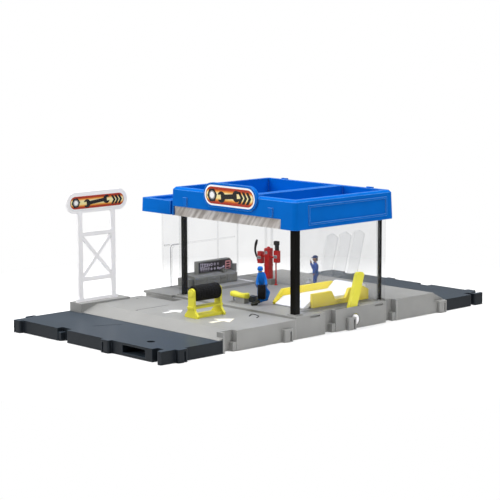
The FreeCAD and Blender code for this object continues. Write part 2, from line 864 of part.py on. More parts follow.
def clear_wall_left():
    panel = wall_panel("clear_wall_left")
    x0, x1, y0, y1, floor, axis = glass_walls()["clear_wall_left"]
    a = x1 - 0.1
    b = x1 + line_proud
    door_y = post_front_y + 19.8
    seam_y = post_front_y + 69.0
    top = box(a, b, y0 + 1, y1 - 4, mould_line_z - line_width / 2, mould_line_z + line_width / 2)
    seam = box(a, b, seam_y - line_width / 2, seam_y + line_width / 2, floor + 1, roof_bottom - 2)
    jamb = box(a, b, door_y - line_width / 2, door_y + line_width / 2, floor + 1, mould_line_z - arch_radius)
    ring = cylinder_x(a, b, door_y + arch_radius, mould_line_z - arch_radius, arch_radius + line_width / 2)
    ring = ring.cut(cylinder_x(a - 1, b + 1, door_y + arch_radius, mould_line_z - arch_radius,
                               arch_radius - line_width / 2))
    ring = ring.common(box(a, b, door_y - line_width, door_y + arch_radius,
                           mould_line_z - arch_radius, mould_line_z + line_width))
    return fuse([panel, top, seam, jamb, ring])


# Roof: a deep tray over the bay, and a lower wing over the annex
def wall_channels(names, x_low, x_high):
    # pairs of ribs under the roof deck that hold the upper edges of the glass
    ribs = []
    low = roof_deck_under - socket_depth
    gap = glass_clearance
    for name in names:
        x0, x1, y0, y1, floor, axis = glass_walls()[name]
        if axis == "y":
            ya = y0 + grip_inset
            yb = y1 - grip_inset
            ribs.append(box(x0 - gap - grip_rib, x0 - gap, ya, yb, low, roof_deck_under))
            if x1 + gap + grip_rib < x_high:
                ribs.append(box(x1 + gap, x1 + gap + grip_rib, ya, yb, low, roof_deck_under))
        else:
            xa = max(x0, x_low) + grip_inset
            xb = min(x1, x_high) - grip_inset
            ribs.append(box(xa, xb, y0 - gap - grip_rib, y0 - gap, low, roof_deck_under))
            ribs.append(box(xa, xb, y1 + gap, y1 + gap + grip_rib, low, roof_deck_under))
    return ribs


divider_x = post_right_x - divider_from_right_post
shutter_x = (roof_left + shutter_left_gap, roof_right - shutter_right_gap)
plate_x = (roof_right - plate_right_gap - plate_width, roof_right - plate_right_gap)
plate_centre_x = (plate_x[0] + plate_x[1]) / 2
frame_y = (post_front_y + 9.0, post_front_y + 92.0)
frame_z = (roof_bottom + 3.0, roof_bottom + 17.0)
frame_band = 1.3
frame_proud = 0.6
fascia_tab_x = (roof_left + 18.8, roof_right - 22.0)
fascia_tab_z = (roof_bottom + 8.0, roof_bottom + 14.5)
fascia_tab_width = 8.0
fascia_tab_proud = 1.4
roof_bump_x = (roof_left + 18.0, roof_right - 24.0)
roof_bump_length = 6.0
roof_bump_depth = 2.0
roof_bump_height = 0.9
rim_bevel = 1.6
plate_proud = 1.7
grip_rib = 1.2
grip_inset = 8.0


def chamfered_rim(x0, x1, y0, y1, z, size):
    # wedge tool that bevels the outer top edge of the tray
    outer = box(x0 - size, x1 + size, y0 - size, y1 + size, z - size, z + past)
    foot = rounded_rectangle(x0, x1, y0, y1, z - size, roof_corner)
    head = rounded_rectangle(x0 + size, x1 - size, y0 + size, y1 - size, z, roof_corner - size * 0.6)
    return outer.cut(Part.makeLoft([foot, head], True, True))


def roof_main():
    body = flared_block(roof_left, roof_right, roof_front, roof_rear, roof_bottom, roof_top,
                        roof_flare, roof_corner)
    under = box(roof_left + roof_side, roof_right - roof_side, roof_front + roof_side, roof_rear - roof_side,
                roof_bottom - past, roof_deck_under)
    wells = [box(xa, xb, roof_front + rim_width, roof_rear - rim_width, roof_deck_top, roof_top + past)
             for xa, xb in ((roof_left + rim_width, divider_x - divider_width / 2),
                            (divider_x + divider_width / 2, roof_right - rim_width))]
    skim = 0.1
    bevel = chamfered_rim(roof_left + skim, roof_right - skim, roof_front + skim, roof_rear - skim,
                          roof_top, rim_bevel)
    body = cut(body, [under] + wells + [bevel])
    inner_side = roof_side - 0.5
    inside = box(roof_left + inner_side, roof_right - inner_side, roof_front + inner_side,
                 roof_rear - inner_side, roof_bottom, roof_deck_under)
    grips = []
    for x, y in posts_at.values():
        half = post_half + socket_rim
        grips.append(box(x - half, x + half, y - half, y + half,
                         roof_deck_under - socket_depth, roof_deck_under).common(inside))
    grips += wall_channels(["clear_wall_right", "clear_wall_rear"], roof_left, roof_right)
    plate_y = roof_front - plate_proud
    plate = stadium_y(plate_y, plate_y + plate_thickness, plate_centre_x, plate_bottom,
                      plate_bottom + plate_height, plate_width)
    body = fuse([body] + grips + [plate])
    # raised frame on the fascia over the lever side
    face = roof_right + roof_flare + frame_proud
    band = prism_x([(frame_y[0], frame_z[0]), (frame_y[1], frame_z[0]),
                    (frame_y[1], frame_z[1]), (frame_y[0], frame_z[1])], roof_right - past, face)
    inner = box(roof_right - 2 * past, face + past, frame_y[0] + frame_band, frame_y[1] - frame_band,
                frame_z[0] + frame_band, frame_z[1] - frame_band)
    slope = math.atan(roof_flare / roof_height)
    trim = box(face, face + 2 * roof_height, frame_y[0] - past, frame_y[1] + past,
               roof_bottom - past, roof_top + past)
    trim.rotate(V(face, 0, roof_bottom), V(0, 1, 0), -math.degrees(slope))
    band = cut(band, [inner, trim])
    tabs = []
    for x in fascia_tab_x:
        outline = [(x - fascia_tab_width, roof_front), (x, roof_front - fascia_tab_proud),
                   (x, roof_front + past), (x - fascia_tab_width, roof_front + past)]
        tabs.append(prism_z(outline, fascia_tab_z[0], fascia_tab_z[1]))
    bump_y = roof_rear - rim_bevel + 0.2
    bumps = [box(x, x + roof_bump_length, bump_y - roof_bump_depth, bump_y, roof_top - 0.1,
                 roof_top + roof_bump_height) for x in roof_bump_x]
    body = fuse([body, band] + tabs + bumps)
    holes = []
    for x, y in posts_at.values():
        half = post_half + post_clearance
        holes.append(box(x - half, x + half, y - half, y + half, roof_bottom - past, roof_deck_under))
    for name in ("clear_wall_right", "clear_wall_rear"):
        x0, x1, y0, y1, floor, axis = glass_walls()[name]
        gap = glass_clearance
        holes.append(box(x0 - gap, x1 + gap, y0 - gap, y1 + gap, roof_bottom - past, roof_deck_under))
    annex_wall = glass_walls()["clear_wall_rear_annex"]
    holes.append(box(roof_left - roof_flare - past, annex_wall[1] + glass_clearance,
                     annex_wall[2] - glass_clearance, annex_wall[3] + glass_clearance,
                     roof_bottom - past, roof_deck_under))
    holes.append(box(shutter_x[0], shutter_x[1], roof_front - roof_flare - past, roof_front + roof_side + skim,
                     roof_bottom - past, roof_bottom + shutter_height))
    return cut(body, holes)


def annex_roof():
    x1 = roof_left - roof_flare - annex_gap
    body = flared_block(annex_left, roof_left + roof_side + roof_corner, roof_front, roof_rear, roof_bottom,
                        annex_top, roof_flare / 2, roof_corner)
    body = body.common(box(annex_left - roof_flare, x1, roof_front - roof_flare, roof_rear + roof_flare,
                           roof_bottom, annex_top))
    under = box(annex_left + roof_side, x1 - roof_side, roof_front + roof_side, roof_rear - roof_side,
                roof_bottom - past, roof_deck_under)
    well = box(annex_left + rim_width, x1 - roof_side, roof_front + rim_width, roof_rear - rim_width,
               roof_deck_top, annex_top + past)
    body = cut(body, [under, well])
    ribs = wall_channels(["clear_wall_left", "clear_wall_rear_annex"], annex_left, x1 - roof_side)
    body = fuse([body] + ribs)
    rear = glass_walls()["clear_wall_rear_annex"]
    slot = box(rear[0] - glass_clearance, x1 + past, rear[2] - glass_clearance, rear[3] + glass_clearance,
               roof_bottom - past, roof_deck_under)
    return body.cut(slot)


def shutter_strip():
    y1 = roof_front + shutter_from_front
    y0 = y1 - shutter_thickness
    low = roof_bottom - shutter_drop
    strip = box(shutter_x[0] + shutter_gap, shutter_x[1] - shutter_gap, y0, y1, low,
                roof_bottom + shutter_height - shutter_gap)
    half = slat_groove / 2
    tools = []
    for i in range(1, slats):
        z = low + shutter_height * i / slats
        tools.append(box(shutter_x[0], shutter_x[1], y0 - past, y0 + slat_groove, z - half, z + half))
    return cut(strip, tools)


def roof_badge():
    y1 = roof_front - plate_proud
    return stadium_y(y1 - label_thickness, y1, plate_centre_x, plate_bottom + badge_margin,
                     plate_bottom + plate_height - badge_margin, plate_width - 2 * badge_margin)


# Lift: lever, axle and arms turn together, the deck stays level on them
head_proud = 0.7
head_flat = 0.6
head_dome = 6.4
shaft_inset = 1.2
shaft_end = 0.4
clip_groove_x = 1.8
clip_groove_width = 0.9
clip_groove_depth = 0.6
clip_thickness = 0.8
clip_rim = 1.5
clip_mouth = 2.8
pin_inset = 0.2


def arm(pivot_y, x0, hub_radius, bore, pin_bore):
    along = V(0, math.cos(rest_angle), math.sin(rest_angle))
    across = V(0, -math.sin(rest_angle), math.cos(rest_angle))
    start = V(x0, pivot_y, axle_z)
    half = arm_width / 2
    corners = [start + across * half, start + along * arm_length + across * half,
               start + along * arm_length - across * half, start - across * half]
    beam = polygon_face(corners).extrude(V(arm_thickness, 0, 0))
    tip = start + along * arm_length
    shape = fuse([beam, cylinder_x(x0, x0 + arm_thickness, pivot_y, axle_z, hub_radius),
                  cylinder_x(x0, x0 + arm_thickness, tip.y, tip.z, arm_tip_radius)])
    x1 = x0 + arm_thickness + past
    return cut(shape, [cylinder_x(x0 - past, x1, pivot_y, axle_z, bore),
                       cylinder_x(x0 - past, x1, tip.y, tip.z, pin_bore)])


def arm_left_edge(sign):
    inner = lift_centre_x + sign * arm_inner
    return inner if sign > 0 else inner - arm_thickness


def lift_lever():
    hub = cylinder_x(lever_x0, lever_x1, axle_y, axle_z, lever_width / 2)
    half = lever_width / 2
    tip_y = axle_y + lever_tip_forward
    knee, waist, neck = [axle_z + rise for rise in (8.5, 16.9, 22.5)]
    left = [(axle_y - half, axle_z), (axle_y - 5.4, knee), (axle_y - 2.2, waist), (axle_y - 0.5, neck),
            (tip_y - half, lever_tip_z - 1.8), (tip_y - half + 1.8, lever_tip_z)]
    right = [(tip_y + half - 2.0, lever_tip_z - 0.4), (tip_y + half - 0.4, lever_tip_z - 2.2),
             (axle_y + 7.6, neck), (axle_y + 5.9, waist), (axle_y + 2.8, knee), (axle_y + half, axle_z)]
    blade = prism_x(left + right, lever_x0, lever_x1)
    shape = fuse([hub, blade])
    return shape.cut(cylinder_x(lever_x0 - past, lever_x1 + past, axle_y, axle_z, axle_radius + press_gap))


def lift_axle():
    head = cylinder_x(lever_x1 + running_gap, side_x + head_proud, axle_y, axle_z, axle_head_radius)
    dome = Part.makeSphere(head_dome, V(side_x + head_proud + head_flat - head_dome, axle_y, axle_z))
    head = head.common(dome)
    shaft = cylinder_x(pit_x[0] + shaft_inset, lever_x1 + 4 * running_gap, axle_y, axle_z, axle_radius)
    x0 = pit_x[0] + clip_groove_x
    groove = cylinder_x(x0, x0 + clip_groove_width, axle_y, axle_z, axle_radius + past)
    groove = groove.cut(cylinder_x(x0 - past, x0 + clip_groove_width + past, axle_y, axle_z,
                                   axle_radius - clip_groove_depth))
    return head.fuse(shaft).cut(groove)


def axle_clip():
    x0 = pit_x[0] + clip_groove_x + running_gap
    x1 = x0 + clip_thickness
    ring = cylinder_x(x0, x1, axle_y, axle_z, axle_radius + clip_rim)
    bore = cylinder_x(x0 - past, x1 + past, axle_y, axle_z, axle_radius - clip_groove_depth + running_gap)
    mouth = box(x0 - past, x1 + past, axle_y - clip_mouth / 2, axle_y + clip_mouth / 2,
                axle_z - axle_radius - clip_rim - past, axle_z)
    return cut(ring, [bore, mouth])


def idle_shaft():
    return cylinder_x(web_left_x - shaft_end, web_right_x + web_thickness + shaft_end, idle_y, axle_z,
                      idle_shaft_radius)


def deck_pins():
    pins = []
    for sign in (-1, 1):
        a = lift_centre_x + sign * (arm_inner - bracket_gap - bracket_thickness + pin_inset)
        b = lift_centre_x + sign * (arm_inner + arm_thickness - pin_inset)
        for y in (idle_pin_y, drive_pin_y):
            pins.append(cylinder_x(min(a, b), max(a, b), y, pin_z, pin_radius))
    return Part.makeCompound(pins)


rail_x = (lift_centre_x - lift_width / 2, lift_centre_x + lift_width / 2)
lift_bottom = shop_top + lift_rest_gap
deck_under = deck_top - deck_thickness
kerb_gap_middle = axle_y + kerb_gap_past_axle
kerb_gap_y = (kerb_gap_middle - kerb_gap_length / 2, kerb_gap_middle + kerb_gap_length / 2)
kerb_toe = 1.6
kerb_end_drop = 3.0
kerb_end_run = 6.0
near_kerb_from_foot = 7.3
cross_bar_half = 6.0
deck_side_gap = 0.05
tread_count = 8
tread_pitch = 5.0
tread_width = 1.0
tread_depth = 0.3
tread_inset = 3.0


def lift_frame():
    rear_end = [(lift_rear - kerb_end_run, kerb_top), (lift_rear, kerb_top - kerb_end_drop),
                (lift_rear, lift_bottom)]
    far = [(ramp_foot_y, lift_bottom), (ramp_foot_y - 0.4, lift_bottom + kerb_toe),
           (ramp_crest_y + 0.6, kerb_top)] + rear_end
    near_y = ramp_foot_y + near_kerb_from_foot
    near = [(near_y, lift_bottom), (near_y, kerb_top),
            (kerb_gap_y[0] - 3.0, kerb_top), (kerb_gap_y[0] + 1.0, kerb_low),
            (kerb_gap_y[1] - 1.0, kerb_low), (kerb_gap_y[1] + 3.0, kerb_top)] + rear_end
    kerbs = [prism_x(far, rail_x[0], rail_x[0] + kerb_width), prism_x(near, rail_x[1] - kerb_width, rail_x[1])]
    bars = [box(rail_x[0] + past, rail_x[1] - past, y - cross_bar_half, y + cross_bar_half,
                lift_bottom, deck_under)
            for y in (idle_pin_y, lift_rear - cross_bar_half)]
    brackets = []
    for sign in (-1, 1):
        a = lift_centre_x + sign * (arm_inner - bracket_gap)
        b = a - sign * bracket_thickness
        x0, x1 = sorted((a, b))
        for y in (idle_pin_y, drive_pin_y):
            ear = cylinder_x(x0, x1, y, pin_z, arm_tip_radius)
            stem = box(x0, x1, y - arm_tip_radius, y + arm_tip_radius, pin_z, deck_under)
            bore = cylinder_x(x0 - past, x1 + past, y, pin_z, pin_radius + press_gap)
            brackets.append(fuse([ear, stem]).cut(bore))
    return fuse(kerbs + bars + brackets)


def lift_deck():
    x0 = rail_x[0] + kerb_width + deck_side_gap
    x1 = rail_x[1] - kerb_width - deck_side_gap
    outline = [(ramp_foot_y, lift_bottom), (ramp_foot_y, lift_bottom + 0.8), (ramp_crest_y, deck_top),
               (lift_rear - stop_length, deck_top), (lift_rear - 4.0, stop_top), (lift_rear - 1.4, stop_top),
               (lift_rear, stop_top - 2.0), (lift_rear, deck_under),
               (ramp_crest_y + 2.0, deck_under), (ramp_foot_y + 5.0, lift_bottom)]
    treads = []
    for i in range(tread_count):
        y = ramp_crest_y + tread_pitch * (i + 1) + tread_width
        treads.append(box(x0 + tread_inset, x1 - tread_inset, y, y + tread_width,
                          deck_top - tread_depth, deck_top + past))
    return cut(prism_x(outline, x0, x1), treads)


# Tyre rack with a turning roller
def rack_outline(x):
    return [(x - rack_foot_width / 2, forecourt_top), (x + rack_foot_width / 2, forecourt_top),
            (x + rack_foot_width / 2, forecourt_top + 1.6), (x + rack_top_radius + 0.6, forecourt_top + 5.2),
            (x + rack_top_radius, forecourt_top + 8.0), (x + rack_top_radius, rack_top - rack_top_radius),
            (x - rack_top_radius, rack_top - rack_top_radius), (x - rack_top_radius, forecourt_top + 8.0),
            (x - rack_top_radius - 0.6, forecourt_top + 5.2), (x - rack_foot_width / 2, forecourt_top + 1.6)]


def rack_frame():
    y0 = rack_front_y
    y1 = rack_front_y + rack_length
    pieces = []
    for y in (y0, y1 - rack_plate):
        pieces.append(prism_y(rack_outline(rack_x), y, y + rack_plate))
        pieces.append(cylinder_y(y, y + rack_plate, rack_x, rack_top - rack_top_radius, rack_top_radius))
    half = rack_shelf_width / 2
    shelf = forecourt_top + rack_shelf_rise
    pieces.append(box(rack_x - half, rack_x + half, y0 - rack_shelf_past, y1 + rack_shelf_past,
                      shelf, shelf + rack_shelf))
    half = rack_foot_bar_width / 2
    pieces.append(box(rack_x - half, rack_x + half, y0 + rack_plate / 4, y1 - rack_plate / 4,
                      forecourt_top, forecourt_top + rack_foot_bar))
    frame = fuse(pieces + rack_tabs(0))
    bore = cylinder_y(y0 - past, y1 + past, rack_x, roller_z, trunnion_radius + running_gap)
    return frame.cut(bore)


def rack_roller():
    y0 = rack_front_y + rack_plate + roller_end_gap
    y1 = rack_front_y + rack_length - rack_plate - roller_end_gap
    ring = (y1 - y0) / roller_rings
    outline = [(0.0, y0)]
    for i in range(roller_rings):
        y = y0 + i * ring
        outline += [(roller_radius - ring_groove, y), (roller_radius, y + ring_slope),
                    (roller_radius, y + ring - ring_slope)]
    outline += [(roller_radius - ring_groove, y1), (0.0, y1)]
    face = polygon_face([V(rack_x + r, y, roller_z) for r, y in outline])
    body = face.revolve(V(rack_x, 0, roller_z), V(0, 1, 0), 360)
    stub = cylinder_y(rack_front_y + trunnion_inset, rack_front_y + rack_length - trunnion_inset,
                      rack_x, roller_z, trunnion_radius)
    return body.fuse(stub)


# Roadside sign
def sign_frame():
    x0 = sign_x - sign_thickness / 2
    x1 = sign_x + sign_thickness / 2
    half = sign_post_width / 2
    pieces = [box(x0, x1, y - half, y + half, plinth_top, sign_board_bottom + 3)
              for y in (sign_post_front_y, sign_post_rear_y)]
    low = sign_post_front_y
    high = sign_post_rear_y
    for z in (sign_low_bar_z, sign_high_bar_z):
        pieces.append(box(x0, x1, low, high, z - sign_bar / 2, z + sign_bar / 2))
    foot = sign_plug_length / 2
    pieces.append(box(x0, x1, low - foot, high + foot, plinth_top, plinth_top + sign_foot_height))
    run = high - low
    rise = sign_high_bar_z - sign_low_bar_z
    length = math.hypot(run, rise)
    for direction in (1, -1):
        start = (low, sign_low_bar_z) if direction > 0 else (low, sign_high_bar_z)
        ny = -rise * direction / length * sign_brace / 2
        nz = run / length * sign_brace / 2
        end = (high, start[1] + rise * direction)
        outline = [(start[0] + ny, start[1] + nz), (end[0] + ny, end[1] + nz),
                   (end[0] - ny, end[1] - nz), (start[0] - ny, start[1] - nz)]
        pieces.append(prism_x(outline, x0 + sign_brace_inset, x1 - sign_brace_inset))
    pieces.append(stadium_x(x0, x1, sign_centre_y, sign_board_bottom, sign_board_bottom + sign_board_height,
                            sign_board_length))
    pieces += [sign_plug_box(y, 0) for y in (low, high)]
    return fuse(pieces)


def sign_badge():
    x0 = sign_x + sign_thickness / 2
    margin = sign_badge_margin
    return stadium_x(x0, x0 + label_thickness, sign_centre_y, sign_board_bottom + margin,
                     sign_board_bottom + sign_board_height - margin, sign_board_length - 2 * margin)


# Workbench with its tool board
panel_face_x = bench_front_x - 5.6
panel_front_y = bench_front_y + 7.6
panel_corner = 3.0
bench_slope = 1.2
cheek_inset = 4.4
cheek_thickness = 3.4
cheek_rise = 5.4
side_box_length = 4.4
side_box_height = 6.4
tool_board_margin = 1.4
tool_board_edge = 0.8


def workbench():
    foot = platform_top
    body = prism_y([(bench_back_x + bench_panel, foot), (bench_front_x, foot),
                    (bench_front_x, bench_top - bench_slope), (bench_front_x - bench_slope, bench_top),
                    (bench_back_x + bench_panel, bench_top + bench_slope)], bench_front_y, bench_rear_y)
    panel_x0 = panel_face_x - bench_panel
    panel = prism_x([(panel_front_y, foot), (panel_front_y, bench_panel_top),
                     (bench_rear_y - panel_corner, bench_panel_top),
                     (bench_rear_y, bench_panel_top - panel_corner),
                     (bench_rear_y, foot)], panel_x0, panel_face_x)
    cheek = box(panel_x0, bench_front_x - cheek_inset, bench_rear_y, bench_rear_y + cheek_thickness,
                foot, bench_top + cheek_rise)
    block = box(panel_x0 - 6.0, panel_x0, bench_front_y + bench_panel, bench_rear_y, foot, foot + 6.0)
    side = box(bench_front_x - 15.6, bench_front_x - 2.6, bench_front_y - side_box_length, bench_front_y,
               foot, foot + side_box_height)
    return fuse([body, panel, cheek, block, side])


def tool_board():
    low = bench_top + tool_board_margin
    high = bench_panel_top - tool_board_edge
    front = panel_front_y + tool_board_margin
    rear = bench_rear_y - tool_board_margin
    return prism_x([(front, low), (front, high), (rear - panel_corner + tool_board_edge, high),
                    (rear, high - panel_corner + tool_board_edge), (rear, low)],
                   panel_face_x, panel_face_x + label_thickness)


# Service machine: base, red column with two boxes, hose and gun
machine_left_x = machine_x - machine_arm_left
machine_right_x = machine_x + machine_arm_right
right_box_top = machine_right_bottom + machine_box_height
gun_top = right_box_top + gun_rise


def service_machine_base():
    across = machine_base_width / 2
    deep = machine_base_depth / 2
    return box(machine_x - across, machine_x + across, machine_y - deep, machine_y + deep,
               shop_top, shop_top + machine_base)


def service_machine_body():
    half = machine_column / 2
    foot = shop_top + machine_base
    column = box(machine_x - half, machine_x + half, machine_y - half, machine_y + half,
                 foot, machine_column_top)
    half = machine_bar / 2
    arms = box(machine_left_x, machine_right_x, machine_y - half, machine_y + half,
               machine_bar_z, machine_bar_z + machine_bar_height)
    boxes = []
    across = machine_box_width / 2
    deep = machine_box_depth / 2
    for x, z in ((machine_left_x, machine_left_bottom), (machine_right_x, machine_right_bottom)):
        boxes.append(box(x - across, x + across, machine_y - deep, machine_y + deep,
                         z, z + machine_box_height))
    return fuse([column, arms] + boxes)


def service_machine_hose():
    # the hose stands up from a clamp on the left box in one wide bend and ends in a tapered tip
    face = machine_left_x - machine_box_width / 2
    clamp = box(face - 2 * hose_radius, face, machine_y - hose_radius, machine_y + hose_radius,
                machine_left_bottom + 1.6, machine_left_bottom + 4.4)
    start = V(face - hose_radius, machine_y, machine_left_bottom + 3.4)
    bend = Part.Arc(start, start + V(-3.4, 0, hose_rise / 2), start + V(-2.4, 0, hose_rise)).toShape()
    ring = Part.Wire([Part.makeCircle(hose_radius * 0.95, start, bend.tangentAt(bend.FirstParameter))])
    tube = Part.Wire([bend]).makePipeShell([ring], True, True)
    out = bend.tangentAt(bend.LastParameter)
    tip = Part.makeCone(hose_radius + 0.4, hose_radius * 0.6, 3.4, bend.valueAt(bend.LastParameter), out)
    return fuse([clamp, tube, tip])


def service_machine_gun():
    x = machine_right_x
    half = gun_width / 2
    neck = gun_top - gun_head_height
    grip = box(x - half, x + half, machine_y - half + 0.3, machine_y + half - 0.3, right_box_top, neck)
    head = box(x - half - gun_nose, x + half, machine_y - half + 0.1, machine_y + half - 0.1, neck, gun_top)
    return fuse([grip, head])


# Small figures and loose goods
def capsule(a, b, radius_a, radius_b):
    a = V(*a)
    b = V(*b)
    axis = b - a
    if radius_a == radius_b:
        middle = Part.makeCylinder(radius_a, axis.Length, a, axis)
    else:
        middle = Part.makeCone(radius_a, radius_b, axis.Length, a, axis)
    return fuse([middle, Part.makeSphere(radius_a, a), Part.makeSphere(radius_b, b)])


def mechanic_standing():
    x, y, z, h = stand_x, stand_y, shop_top, stand_height
    hip = z + h * 0.47
    shoulder = z + h * 0.78
    legs = [capsule((x + s * 1.3, y, hip), (x + s * 1.7, y, z + 1.4), 1.5, 1.25) for s in (-1, 1)]
    shoes = [box(x + s * 1.7 - 1.2, x + s * 1.7 + 1.2, y - 2.8, y + 1.4, z, z + 1.5) for s in (-1, 1)]
    torso = capsule((x, y, hip), (x, y, shoulder - 1.6), 2.3, 2.5)
    head = Part.makeSphere(2.3, V(x, y - 0.2, z + h - 2.9))
    cap = cylinder_z(z + h - 2.4, z + h - 0.4, x, y, 2.4)
    brim = box(x - 1.7, x + 1.7, y - 3.9, y, z + h - 2.4, z + h - 1.8)
    neck = cylinder_z(shoulder - 1.0, z + h - 3.5, x, y, 1.0)
    arms = [capsule((x - 2.6, y, shoulder - 0.6), (x - 4.2, y - 2.0, shoulder - 4.8), 1.0, 0.9),
            capsule((x - 4.2, y - 2.0, shoulder - 4.8), (x - 4.6, y - 3.2, shoulder + 0.4), 0.9, 0.9),
            capsule((x + 2.6, y, shoulder - 0.6), (x + 3.4, y - 0.6, hip), 1.0, 0.9)]
    return fuse(legs + shoes + [torso, head, cap, brim, neck] + arms)


def turned(shape):
    # from the carrying figure's own frame, facing -Y at the origin, to its place on the floor
    shape.rotate(V(0, 0, 0), V(0, 0, 1), carry_turn_deg)
    shape.translate(V(carry_x, carry_y, shop_top))
    return shape


def mechanic_carrying():
    h = carry_height
    hip = h * 0.48
    shoulder = h * 0.80
    inner = carry_tyre_x - tyre_width / 2
    outer = carry_tyre_x + tyre_width / 2
    palm_z = carry_tyre_z + tyre_radius * 0.72
    near_leg = [capsule((2.2, 0.4, hip), (5.8, -3.2, hip - 5.0), 1.7, 1.5),
                capsule((5.8, -3.2, hip - 5.0), (4.4, -4.6, 3.8), 1.5, 1.3),
                capsule((4.4, -4.6, 3.8), (-0.6, -6.0, 3.2), 1.3, 1.2),
                capsule((-0.8, -6.0, 3.0), (-3.2, -7.0, 1.7), 1.5, 1.5),
                capsule((-3.2, -7.0, 1.5), (-5.6, -8.2, 1.2), 1.5, 1.2)]
    far_leg = [capsule((-0.4, 0.8, hip), (-0.8, 2.2, 7.0), 1.7, 1.4),
               capsule((-0.8, 2.2, 7.0), (-0.6, 3.0, 2.0), 1.4, 1.2),
               box(-1.8, 0.6, 0.4, 4.6, 0, 1.6)]
    sole = box(-6.2, -1.6, -8.6, -6.6, 0, 1.2)
    torso = capsule((0.9, 0.4, hip), (0.7, 0.0, shoulder), 2.5, 2.7)
    head = Part.makeSphere(2.0, V(0, -0.4, h - 2.1))
    neck = cylinder_z(shoulder, h - 2.0, 0.1, -0.2, 1.0)
    cap = cylinder_z(h - 1.9, h - 0.4, 0, -0.2, 2.15)
    arms = [capsule((-2.6, 0, shoulder), (-2.9, -1.6, shoulder - 5.0), 1.1, 1.0),
            capsule((-2.9, -1.6, shoulder - 5.0), (inner - 0.95, carry_tyre_y + 0.6, palm_z), 1.0, 0.9),
            capsule((4.2, 0.2, shoulder), (5.0, -1.2, shoulder - 5.0), 1.1, 1.0),
            capsule((5.0, -1.2, shoulder - 5.0), (outer + 0.95, carry_tyre_y + 0.6, palm_z), 1.0, 0.9)]
    palms = [box(inner - 1.0, inner, carry_tyre_y - 0.4, carry_tyre_y + 1.2, palm_z - 0.8, palm_z + 0.6),
             box(outer, outer + 1.0, carry_tyre_y - 0.4, carry_tyre_y + 1.2, palm_z - 0.8, palm_z + 0.6)]
    body = fuse(near_leg + far_leg + [sole, torso, head, neck, cap] + arms)
    room = cylinder_x(inner - 0.001, outer + 0.001, carry_tyre_y, carry_tyre_z, tyre_radius + 0.2)
    return turned(fuse([body.cut(room)] + palms))


def carried_tyre():
    inner = carry_tyre_x - tyre_width / 2
    outer = carry_tyre_x + tyre_width / 2
    tyre = cylinder_x(inner, outer, carry_tyre_y, carry_tyre_z, tyre_radius)
    edges = [e for e in tyre.Edges if e.Curve.TypeId == "Part::GeomCircle"]
    tyre = tyre.makeFillet(tyre_shoulder, edges)
    return turned(tyre.cut(cylinder_x(inner - 1, outer + 1, carry_tyre_y, carry_tyre_z, tyre_bore)))


def oil_can():
    body = cylinder_z(shop_top, shop_top + can_height - 3.0, can_x, can_y, can_radius)
    neck = Part.makeCone(can_radius, 0.8, 2.2, V(can_x, can_y, shop_top + can_height - 3.0))
    cap = cylinder_z(shop_top + can_height - 0.8, shop_top + can_height, can_x, can_y, 0.9)
    return fuse([body, neck, cap])


def tool_chest():
    top = shop_top + chest_height
    return box(chest_x, chest_x + chest_length, chest_y, chest_y + chest_depth, shop_top, top)


def cradle_stand():
    x1 = cradle_x + cradle_length / 2 - 1.6
    half = cradle_block_depth / 2
    block = box(x1 - cradle_block_width, x1, cradle_y - half, cradle_y + half,
                shop_top, shop_top + cradle_block_height)
    plate = box(x1 - cradle_block_width - 5.6, x1 - cradle_block_width + 1, cradle_y - half, cradle_y + half,
                shop_top, shop_top + 0.8)
    legs = [cylinder_z(shop_top, shop_top + cradle_block_height, x1 - cradle_block_width - out, cradle_y,
                       cradle_leg_radius) for out in (2.0, 4.6)]
    return fuse([block, plate] + legs)


def wheel_cradle():
    z0 = shop_top + cradle_block_height
    half = cradle_length / 2
    deep = cradle_depth / 2
    block = box(cradle_x - half, cradle_x + half, cradle_y - deep, cradle_y + deep, z0, z0 + cradle_height)
    block = block.makeFillet(cradle_corner, upright_edges(block))
    dip = cylinder_y(cradle_y - cradle_depth, cradle_y + cradle_depth, cradle_x,
                     z0 + cradle_height / 2 + cradle_arc, cradle_arc)
    return block.cut(dip)


# Everything is written, one file for each piece
builders = [front_road_plate, forecourt_tile, shop_base, rear_apron, rear_road_plate,
            mechanism_cover, cover_screws,
            clear_wall_right, clear_wall_left, roof_main, annex_roof, shutter_strip, roof_badge,
            lift_lever, lift_axle, axle_clip, idle_shaft, deck_pins, lift_frame, lift_deck,
            rack_frame, rack_roller, sign_frame, sign_badge, workbench, tool_board,
            service_machine_base, service_machine_body, service_machine_hose, service_machine_gun,
            mechanic_standing, mechanic_carrying, carried_tyre, tool_chest, oil_can, cradle_stand, wheel_cradle]
for build in builders:
    save(build.__name__, build())
for post_name, (post_x, post_y) in posts_at.items():
    save(post_name, square_post(post_x, post_y))
for wall_name in ("clear_wall_rear", "clear_wall_rear_annex"):
    save(wall_name, wall_panel(wall_name))
for arm_name, arm_sign in (("left", -1), ("right", 1)):
    arm_x = arm_left_edge(arm_sign)
    save("drive_arm_" + arm_name,
         arm(axle_y, arm_x, drive_hub_radius, axle_radius + press_gap, pin_radius + running_gap))
    save("idle_arm_" + arm_name,
         arm(idle_y, arm_x, idle_hub_radius, idle_shaft_radius + press_gap, pin_radius + open_pivot_gap))
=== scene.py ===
# Looks of the toy auto repair shop, in metres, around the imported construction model
import json
import math

import bmesh
import bpy
from mathutils import Matrix, Vector


